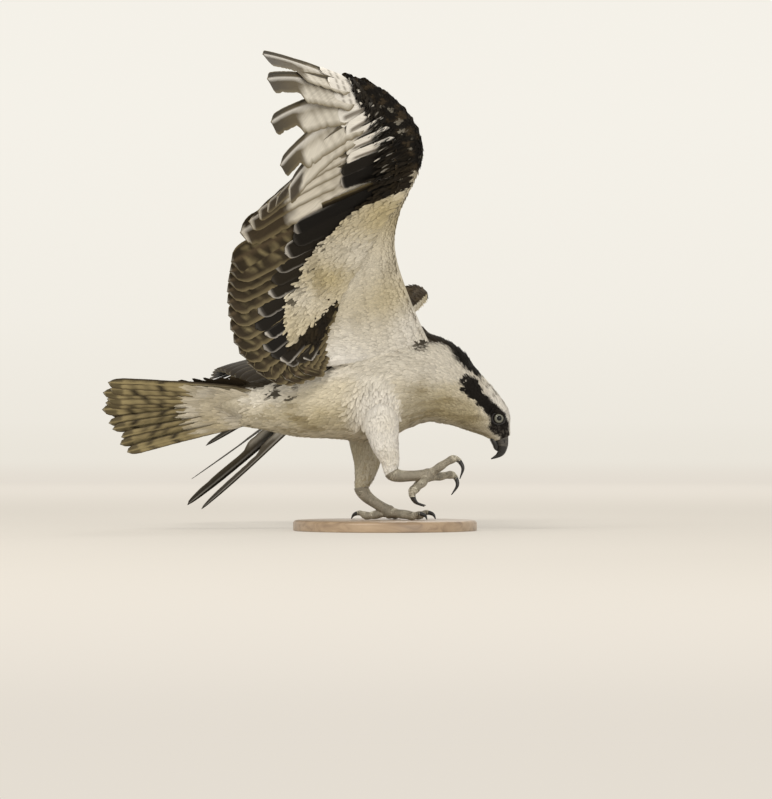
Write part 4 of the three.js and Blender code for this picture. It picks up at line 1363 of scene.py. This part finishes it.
def bills():
    """Both bills, the bare cere at the root of the upper one and its nostrils."""
    join_lofts("upper_bill", [BILL.rings(0, 1, 60, 40)], HORN, "horn", "bill_upper")
    cere = BILL.rings(0, 0.34, 24, 40, 0.35)
    under = BILL.rings(0.31, 0.34, 3, 40)
    cere[-3:] = under + (cere[-3:] - under) * np.array([0.8, 0.4, -0.3])[:, None, None]
    join_lofts("cere", [cere], CERE, "horn")
    join_lofts("nostrils", [nostril(-1), nostril(1)], LID, "horn")
    join_lofts("lower_bill", [LOWER_BILL.rings(0, 1, 40, 32)], HORN, "horn", "bill_lower")


for side, name in ((-1, "eye_right"), (1, "eye_left")):
    eye(side, name)
    lids(side)
bills()
join_lofts("brows", [brow(-1), brow(1)], DOWN, "white_plumage", tint=BLACK * 1.3)

# Feet.


def across_toe(points):
    run = np.array(points[2], float) - np.array(points[0], float)
    if run[2] > 0 and abs(run[0]) < 1:
        return np.array([0.0, 1.0, 0.0])
    return unit([-run[1], run[0], 0])


def knuckle(t):
    """How much a toe swells at its joints."""
    return 0.98 + 0.09 * np.cos(2 * np.pi * np.asarray(t) / TOE_SHARE * 3)


def plates(name, limb, start, stop, step, size, toe=False, belly=False):
    """Small overlapping scales over a limb, wide ones along its upper side."""
    t, turn = ring_places(limb, start, stop, step, step * 0.9)
    if belly:
        keep = limb.point(t, turn)[:, 2] > SOLE + 0.8
        t, turn = t[keep], turn[keep]
    places = limb.point(t, turn, -0.15)
    normals = unit(limb.point(t, turn, 1.0) - places)
    if toe:
        centre = limb.line(t)
        places = centre + (places - centre) * knuckle(t)[:, None]
    n = len(t)
    top = smooth(0.45, 0.85, np.sin(turn))
    shade = 0.35 + 0.5 * ripple(places, 5.0, 2.0)
    tint = blend(SCALE_GREY, SCALE_DARK, shade) * vary(n, 0.18)[:, None]
    length, width = size * (1 + 0.1 * top) * vary(n, 0.1), size * (0.42 + 0.35 * top) * vary(n, 0.1)
    tufts(
        name, places, normals, limb.tangent(t), length, width, 0.35 * vary(n, 0.3), tint, unwrap(turn, t),
        cup=0.25, thick=0.2, slot="scaly_skin", material=PLATES, curl=0.02,
    )


def foot(side):
    """Shank, toes and the ball between them in one scaly skin, with scales and claws."""
    leg = LEGS[side]
    on_base = side == "left"
    rings = [leg.rings(HEEL - 0.05, 1.0, 50, 32)]
    plates(side + "_shank_scales", leg, HEEL - 0.02, 0.985, 2.1, 3.0)
    for k, points in enumerate(TOES[side]):
        toe = Limb(points, TOE_SIZES, across_toe(points))
        line = toe.rings(0, TOE_SHARE, 40, 24)
        t = np.linspace(0, TOE_SHARE, 40)
        centre = toe.line(t)[:, None]
        rings.append(centre + (line - centre) * knuckle(t)[:, None, None])
        name = f"{side}_toe_{k + 1}_scales"
        plates(name, toe, 0.06, TOE_SHARE + 0.012, 1.8, 2.7, toe=True, belly=on_base)
        claw = toe.rings(TOE_SHARE - 0.01, 1, 36, 20)
        if on_base:
            for flattened in (rings[-1], claw):
                flattened[..., 2] = np.maximum(flattened[..., 2], SOLE)
        join_lofts(f"{side}_talon_{k + 1}", [claw], HORN, "horn", f"{side}_claw_{k + 1}")
    end = leg.line(1.0)
    ball = Limb(
        [end - [9, 0, 0], end - [4, 0, 0], end + [4, 0, 0], end + [9, 0, 0]],
        [[1, 1, 1], [8.5, 8.5, 9], [8.5, 8.5, 9], [1, 1, 1]],
    )
    rings.append(ball.rings(0, 1, 16, 24))
    obj = join_lofts(side + "_scaly_foot", rings, SCALES, "scaly_skin", side + "_shank", side + "_foot")
    melt(obj, FOOT_VOXEL, 3)


foot("right")
foot("left")

# The skin's markings and what it stands for.

def coat_colours(points):
    """The tint of the nearest small feather to each point."""
    places, tints = np.vstack(painted_places), np.vstack(painted_tints)
    near = KDTree(len(places))
    for i, p in enumerate(places):
        near.insert(p, i)
    near.balance()
    return tints[[near.find(p)[1] for p in points]]


hide_co = np.empty(3 * len(hide.data.vertices), np.float32)
hide.data.vertices.foreach_get("co", hide_co)
paint(hide.data, coat_colours(hide_co.reshape(-1, 3) / MM) * 0.8)
limbs = [f"{side}_{limb}" for side in wings for limb in ("thigh", "wing_arm", "wing_hand")]
finish_piece(hide, "white_plumage", "torso", "neck", "head", *limbs)

# Base.


def turned(outline):
    """Rings of a shape turned about the upright axis; outline holds (radius, height) pairs."""
    turn = np.linspace(0, 2 * np.pi, 160, endpoint=False)
    return np.array([[[r * math.cos(a), r * math.sin(a), z] for a in turn] for r, z in outline])


def base():
    """The plain turned base, with a small rounded edge."""
    foot_edge = [(0.01, 0), (BASE_RADIUS - 1, 0), (BASE_RADIUS, 1)]
    round_edge = [(0, 3.4), (0.4, 2.4), (2.4, 0.5), (3.4, 0)]
    outline = foot_edge + [(BASE_RADIUS - r, BASE_TOP - z) for r, z in round_edge] + [(0.01, BASE_TOP)]
    return join_lofts("wooden_base", [turned(outline)], OAK, "oak", "stand_base")


wood = base()
wood.data.set_sharp_from_angle(angle=math.radians(40))

# Studio and camera.

FLOOR_RADII = [0.01, 0.6, 1.2, 1.8, 2.4, 3, 4, 6, 9, 11, 13, 15, 16.5, 17.3, 17.6]
FLOOR_RISE = [0, 0, 0, 0, 0, 0, 0, 0, 0, 0.1, 0.5, 1.4, 3.0, 5.5, 9.0]
GLOW_REACH = 17.3
FLOOR_TINT = (0.33, 0.315, 0.29)
FLOOR_GLOW = (0.385, 0.36, 0.32)
WALL_LOW = (0.775, 0.72, 0.64)
WALL_MIDDLE = (0.82, 0.78, 0.70)
WALL_HIGH = (0.91, 0.88, 0.81)
PICTURE_POINTS, POINT_SIZE = 799, 1.36
VIEW_DISTANCE, SENSOR = 7.0, 36


def paper_material():
    """Pale paper that glows more with distance, so that no line shows between floor and wall."""
    mat = Shader("paper", 0.9, Specular_IOR_Level=0.0, Emission_Strength=1.0)
    distance = mat.add("VectorMath", mat.place(), operation="LENGTH").outputs["Value"]
    share = mat.add("Math", distance, operation="DIVIDE")
    share.inputs[1].default_value = GLOW_REACH
    lit = mat.ramp(share.outputs[0], [(0.05, FLOOR_TINT), (0.25, (0.0, 0.0, 0.0))], interpolation="EASE")
    glow = [(0.06, FLOOR_GLOW), (0.22, WALL_LOW), (0.5, WALL_MIDDLE), (0.9, WALL_HIGH)]
    glow = mat.ramp(share.outputs[0], glow, interpolation="EASE")
    mat.link(glow, mat.surface.inputs["Emission Color"])
    return mat.finish(lit)


def studio():
    """A round pale floor that turns up into a wall far away, under an even sky."""
    turn = np.linspace(0, 2 * np.pi, 96, endpoint=False)
    rings = np.array([
        [[r * math.cos(a) * 1000, r * math.sin(a) * 1000, z * 1000 - 0.2] for a in turn]
        for r, z in zip(FLOOR_RADII, FLOOR_RISE)
    ])
    faces = grid_faces(*rings.shape[:2])[:, ::-1]
    floor = mesh_object("floor", rings.reshape(-1, 3), faces, paper_material())
    world = bpy.data.worlds.new("studio")
    bpy.context.scene.world = world
    world.use_nodes = True
    background = world.node_tree.nodes["Background"]
    background.inputs["Color"].default_value = (0.93, 0.885, 0.82, 1)
    background.inputs["Strength"].default_value = 0.64
    bpy.context.scene.view_settings.view_transform = "Standard"


def link_object(name, data, place):
    obj = bpy.data.objects.new(name, data)
    obj.location = place
    bpy.context.collection.objects.link(obj)
    return obj


def area(name, place, size, power):
    """A square warm light that faces the bird."""
    light = bpy.data.lights.new(name, "AREA")
    light.shape = "SQUARE"
    light.size = size
    light.energy = power
    light.color = (1, 0.96, 0.9)
    obj = link_object(name, light, place)
    obj.rotation_mode = "QUATERNION"
    obj.rotation_quaternion = (Vector((0, 0, 0.3)) - Vector(place)).to_track_quat("-Z", "Y")


def view():
    """The camera, level with the bird, on its right side."""
    camera = bpy.data.cameras.new("camera")
    camera.sensor_width = SENSOR
    camera.lens = SENSOR * VIEW_DISTANCE / (PICTURE_POINTS * POINT_SIZE * MM)
    camera.clip_end = 60
    obj = link_object("camera", camera, (0.0014, -VIEW_DISTANCE, 0.17818))
    obj.rotation_euler = (math.pi / 2, 0, 0)
    bpy.context.scene.camera = obj


studio()
area("key", (-1.6, -2.6, 3.4), 1.6, 115)
area("fill", (2.2, -3.4, 0.9), 2.0, 38)
area("rim", (0.5, 3.2, 2.6), 1.6, 30)
view()
